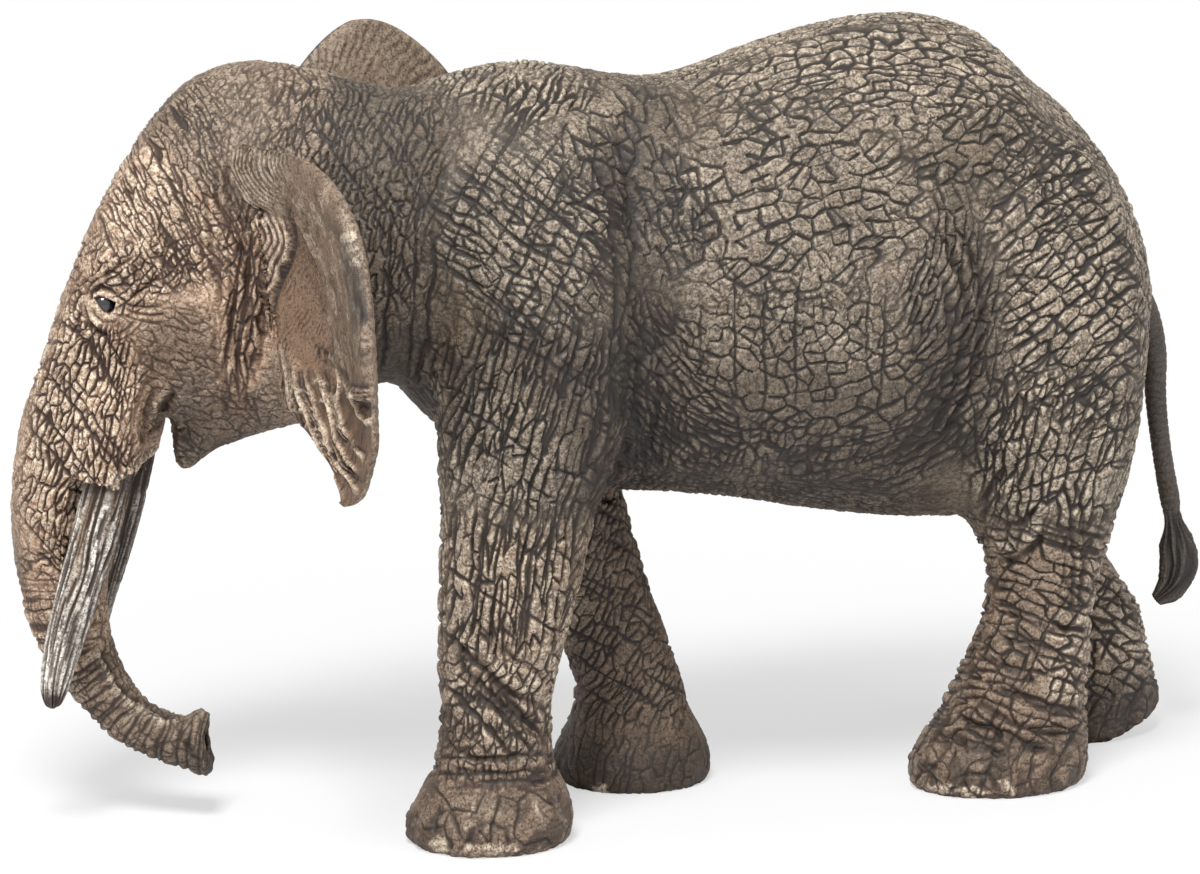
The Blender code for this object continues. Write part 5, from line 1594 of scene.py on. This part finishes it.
def make_tusk(side, node, material):
    """A tusk: a tapering tube with broken grooves along it, stained and with a dark tip."""
    points, sizes, ways, angle, along = tube(TUSK_ROWS, TUSK_SIZE, side)
    across, length = np.meshgrid(angle, along)
    radius = np.repeat(sizes[:, :1], len(angle), 1)
    rough = tube_noise(across, length, 3)
    wobble = 0.30 * rough(1.6, 401 + side, 0.25)
    total = np.zeros_like(across)
    wash = np.zeros_like(across)
    for k, (count, part_length, width, depth, darkness) in enumerate(TUSK_GROOVES):
        line = across / (2 * math.pi) * count + wobble * (1 + k) + 0.37 * k
        number = np.floor(line)
        away = np.abs(line - number - 0.5) * 2 * math.pi * TUSK_RADIUS / count
        whole = number.astype(np.int64)
        broken = length / part_length + 13.7 * hashed(whole, whole * 0 + k, 471 + side)
        part = broken - np.floor(broken)
        cell = np.floor(broken).astype(np.int64)
        on = hashed(cell, whole % count, 481 + k + side)
        after = hashed(cell + 1, whole % count, 481 + k + side)
        strong = step(0.25, 0.5, on * (1 - step(0.6, 1, part)) + after * step(0.6, 1, part))
        cut = crack(away, width * (0.6 + 0.5 * on)) * strong
        total -= depth * cut
        wash = over(wash, darkness * np.clip(1.5 * cut, 0, 1))
    total += 0.05 * rough(0.8, 431)
    dark_tip = step(along[-1] - 3.2, along[-1] - 0.8, length + 0.8 * rough(1.2, 441))
    loops = points[:, None] + ways * (radius + total * np.clip(radius / 2, 0, 1))[..., None]
    loops[..., 0] -= TUSK_BACK * step(44, 14, length) * step(2.5, 10.5, length)
    loops = from_head(loops.reshape(-1, 3)).reshape(loops.shape)
    streaks = rough(0.9, 453, 0.14)
    stain = step(-0.1, 0.5, streaks) * step(38, 14, length)
    # Dark wash at the root, where the tusk leaves its lip: partly painted shade under the lip and partly stain
    root = step(17, 12.5, length + 1.5 * rough(1.0, 455))
    wash = np.clip(wash * (0.75 + 0.25 * step(40, 25, length)) + 0.85 * dark_tip + 0.7 * root, 0, 1)
    light = (0.9 - 0.5 * stain + 0.3 * step(-0.3, 0.4, -streaks)) * (1 - wash)
    # The far tusk gets painted shade: less light paint and stain, and more shade
    if side > 0:
        light, stain = 0.6 * light, 0.3 * stain
    fields = {"wash": wash, "ridge": light, "warm": stain, "shade": 0.22 * stain + (0.25 if side > 0 else 0)}
    mesh = loops_mesh(node + "_ivory", loops, fields)
    place(node + "_ivory", mesh, [node], "tusk", material)


TAIL_SIZE = ((520, 96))


# Shares of the torso's length and the back's height, and of the radius or the tuft's half width
TAIL_SHARES = (
    (0.900, 0.700, 1.20), (0.955, 0.655, 1.25), (1.000, 0.600, 1.05), (1.022, 0.540, 0.85),
    (1.027, 0.470, 0.72), (1.037, 0.400, 0.66), (1.050, 0.335, 0.68),
)
TUFT_SHARES = (
    (1.057, 0.300, 0.44), (1.062, 0.270, 0.80), (1.066, 0.240, 0.95), (1.056, 0.212, 0.74), (1.034, 0.194, 0.30),
)
TAIL_RADIUS = 2.1
TUFT_WIDTH = 6.2
TUFT_FLATNESS = 0.55


def tail_rows():
    """Place behind the figure's middle, height, half thickness and half width of the tail."""
    rows = []
    for shares, half, flatness in ((TAIL_SHARES, TAIL_RADIUS, 1), (TUFT_SHARES, TUFT_WIDTH / 2, TUFT_FLATNESS)):
        for share, height, width in shares:
            place_behind = (share - 0.5) * TORSO_LENGTH
            rows.append((place_behind, 0.0, height * BACK_HEIGHT, width * half, width * half * flatness))
    return rows


def make_tail(material):
    """The tail: a ringed tube that ends in a flattened tuft of strands."""
    points, sizes, ways, angle, along = tube(tail_rows(), TAIL_SIZE)
    across, length = np.meshgrid(angle, along)
    first = ways[:, :1]
    across_part = (ways * first).sum(-1)[..., None] * first
    other = ways - across_part
    total = length[-1, 0]
    rough = tube_noise(across, length, 2)
    tuft = step(total - 15.5, total - 12.0, length)
    strand_wobble = 0.5 * rough(1.5, 501, 0.3)
    line = across / (2 * math.pi) * 9 + 1.6 * strand_wobble
    strands = np.abs((line % 1) - 0.5) * 2
    fine_line = across / (2 * math.pi) * 26 + 1.3 * strand_wobble
    fine = np.abs((fine_line % 1) - 0.5) * 2
    rings = length / 1.1 + 0.35 * rough(1.5, 511)
    ring = crack(off_line(rings) * 1.1, 0.25)
    relief = tuft * (0.75 * strands + 0.22 * fine - 0.62) - (1 - tuft) * 0.09 * ring
    relief += 0.04 * rough(0.7, 521)
    grow = relief[..., None] * ways * np.clip(sizes[:, 1] / 1.2, 0, 1)[:, None, None]
    loops = points[:, None] + across_part * sizes[:, None, :1] + other * sizes[:, None, 1:2] + grow
    loops = loops + BODY_AT
    wash = np.clip(tuft * (0.8 * (1 - strands) ** 1.5 + 0.3 * (1 - fine)) + (1 - tuft) * 0.35 * ring, 0, 1)
    fields = {
        "wash": wash,
        "ridge": tuft * strands**4 * 0.6 + (1 - tuft) * 0.1,
        "warm": np.full(wash.shape, 0.3),
        "shade": 0.25 + 0.15 * tuft,
    }
    mesh = loops_mesh("tail_skin", loops, fields)
    place("tail_skin", mesh, ["tail"], "tail_hair", material)


EYE_RADIUS = 1.9
EYE_COLOURS = (linear(14, 16, 22), linear(30, 34, 44))
# Where the eye shows between its lids, in pixels
EYE_OPENING = (
    (94.8, 298.0), (98.0, 295.8), (103.5, 297.0), (109.5, 300.5), (115.0, 303.0),
    (113.0, 309.0), (108.5, 313.5), (104.0, 311.0), (99.0, 305.5),
)
EYE_PIXEL = (104.5, 304.0)
EYE_INSET = 0.25
# The lids and the wrinkles beside them: a line through pixels, its half width and its depth in millimetres, or its
# height if below zero, and how dark it is, or how light if below zero
LIDS_REACH = 13
LIDS = (
    (((93.0, 302), (94.0, 294), (101.0, 291.0), (110.0, 295.5), (118.5, 301.5)), 0.26, -0.12, -0.25),
    (((89.5, 303), (90.5, 292), (99.0, 286.5), (109.5, 290.0), (121.0, 298.5)), 0.30, 0.40, 0.9),
    (((88.0, 296), (92.5, 286.0), (101.0, 281.5), (112.0, 285), (125.0, 294)), 0.30, -0.30, -0.30),
    (((94.0, 303), (98.5, 311), (104.5, 317.0), (111.5, 317.5), (116.5, 312), (120.0, 303)), 0.24, -0.10, -0.35),
    (((90.5, 305), (95.0, 316), (103.5, 322.5), (113.0, 322.5), (121.0, 313)), 0.26, 0.22, 0.55),
    (((86.0, 303), (90.0, 317), (99.0, 328), (112.0, 331)), 0.32, -0.16, -0.10),
    (((82.0, 300), (86.0, 320), (96.0, 333), (112.0, 338)), 0.34, 0.40, 0.8),
    (((101.0, 279), (110, 271), (122, 263), (136, 254)), 0.28, 0.45, 0.8),
    (((126, 300), (140, 291), (153, 281), (163, 272)), 0.30, 0.42, 0.8),
    (((120.0, 301), (130, 306), (146, 308), (166, 306)), 0.28, 0.36, 0.8),
    (((122.0, 307), (132, 313), (150, 316), (172, 313)), 0.28, 0.34, 0.7),
    (((120.0, 314), (134, 320), (152, 324), (170, 322)), 0.30, 0.30, 0.6),
    (((98, 277), (88, 285), (82, 298)), 0.30, 0.36, 0.7),
)


def inside_shape(px, py, shape):
    """Pixels inside a shape, as distances from its edge, below zero outside."""
    d, _ = line_distance(px, py, shape + shape[:1])
    inside = np.zeros(len(px), bool)
    for (ax, ay), (bx, by) in zip(shape, shape[1:] + shape[:1]):
        crossing = (ay > py) != (by > py)
        inside ^= crossing & (px < (bx - ax) * (py - ay) / (by - ay + 1e-9) + ax)
    return np.where(inside, d, -d)


def shape_eyes(f):
    """Lids, and the hollow that each eye lies in. Returns the height, and the wash in its folds."""
    away = np.hypot(f["eye"][:, 0], f["eye"][:, 2])
    at = np.flatnonzero((away < LIDS_REACH) & (f["in_head"] > 0.5) & (np.abs(f["head"][:, 1]) > 4))
    u, v = f["u"][at], f["v"][at]
    height = np.zeros(len(away), np.float32)
    wash = np.zeros(len(away), np.float32)
    for line, half_width, depth, dark in LIDS:
        d, along = line_distance(u, v, line)
        shape = np.exp(-((d * PIXEL / half_width) ** 2)) * step(0, 0.15, along) * step(1, 0.8, along)
        height[at] -= depth * shape
        if dark > 0:
            wash[at] = np.maximum(wash[at], np.clip(dark * 1.3 * shape - 0.12, 0, 1))
        else:
            f["lit"][at] = np.maximum(f["lit"][at], -dark * shape)
    inside = inside_shape(u, v, EYE_OPENING) * PIXEL
    height[at] = height[at] * (1 - step(-0.25, 0.1, inside)) - 1.6 * step(-0.12, 0.22, inside)
    wash[at] = np.maximum(wash[at], step(-0.22, 0.0, inside))
    return height, wash


def make_eye(side, node):
    """A glossy eyeball behind its lids, a little fuller in front."""
    centre = eye_middle(-1)
    u, v, depth = to_pixels(centre[None])
    scale = depth[0] / PIXELS
    centre = centre + RIGHT * (EYE_PIXEL[0] - u[0]) * scale - UP * (EYE_PIXEL[1] - v[0]) * scale
    inward = from_head(np.array([[0.0, 1.0, 0.0]])) - from_head(np.zeros((1, 3)))
    centre = centre + inward[0] * EYE_INSET
    if side > 0:
        centre = from_head(to_head(centre[None]) * np.array([1, -1, 1]))[0]
    made, nodes, shader = new_material(node + "_gloss")
    cloud = nodes.add("TexNoise", {"Scale": 900.0, "Vector": nodes.where()})
    ramp = nodes.add("ValToRGB", {"Fac": cloud.outputs["Fac"]})
    for stop, place_on_ramp, colour in zip(ramp.color_ramp.elements, (0.46, 0.68), EYE_COLOURS):
        stop.position = place_on_ramp
        stop.color = (*colour, 1)
    nodes.feed(shader.inputs["Base Color"], ramp.outputs["Color"])
    nodes.feed(shader.inputs["Roughness"], 0.12)
    nodes.feed(shader.inputs["Coat Weight"], 1.0)
    mesh = bpy.data.meshes.new(node + "_ball")
    bm = bmesh.new()
    bmesh.ops.create_icosphere(bm, subdivisions=4, radius=EYE_RADIUS / 1000)
    outward = from_head(np.array([[0.35, side, 0.1]])) - from_head(np.zeros((1, 3)))
    outward = Vector(outward[0]).normalized()
    for vertex in bm.verts:
        lens = max(0.0, vertex.co.normalized().dot(outward) - 0.72)
        vertex.co = vertex.co * (1 + 0.25 * lens) + Vector(centre) / 1000
    bm.to_mesh(mesh)
    bm.free()
    mesh.shade_smooth()
    place(node + "_ball", mesh, [node], "eye", made)


make_camera()
make_stage()
make_light()
skin = skin_material("painted_skin", SKIN_PAINT)
make_skin(skin)
make_ear(-1, "left_ear", skin)
make_ear(1, "right_ear", skin)
ivory = skin_material("painted_ivory", IVORY_PAINT)
make_tusk(-1, "left_tusk", ivory)
make_tusk(1, "right_tusk", ivory)
hair = skin_material("painted_hair", HAIR_PAINT)
make_tail(hair)
make_eye(-1, "left_eye")
make_eye(1, "right_eye")
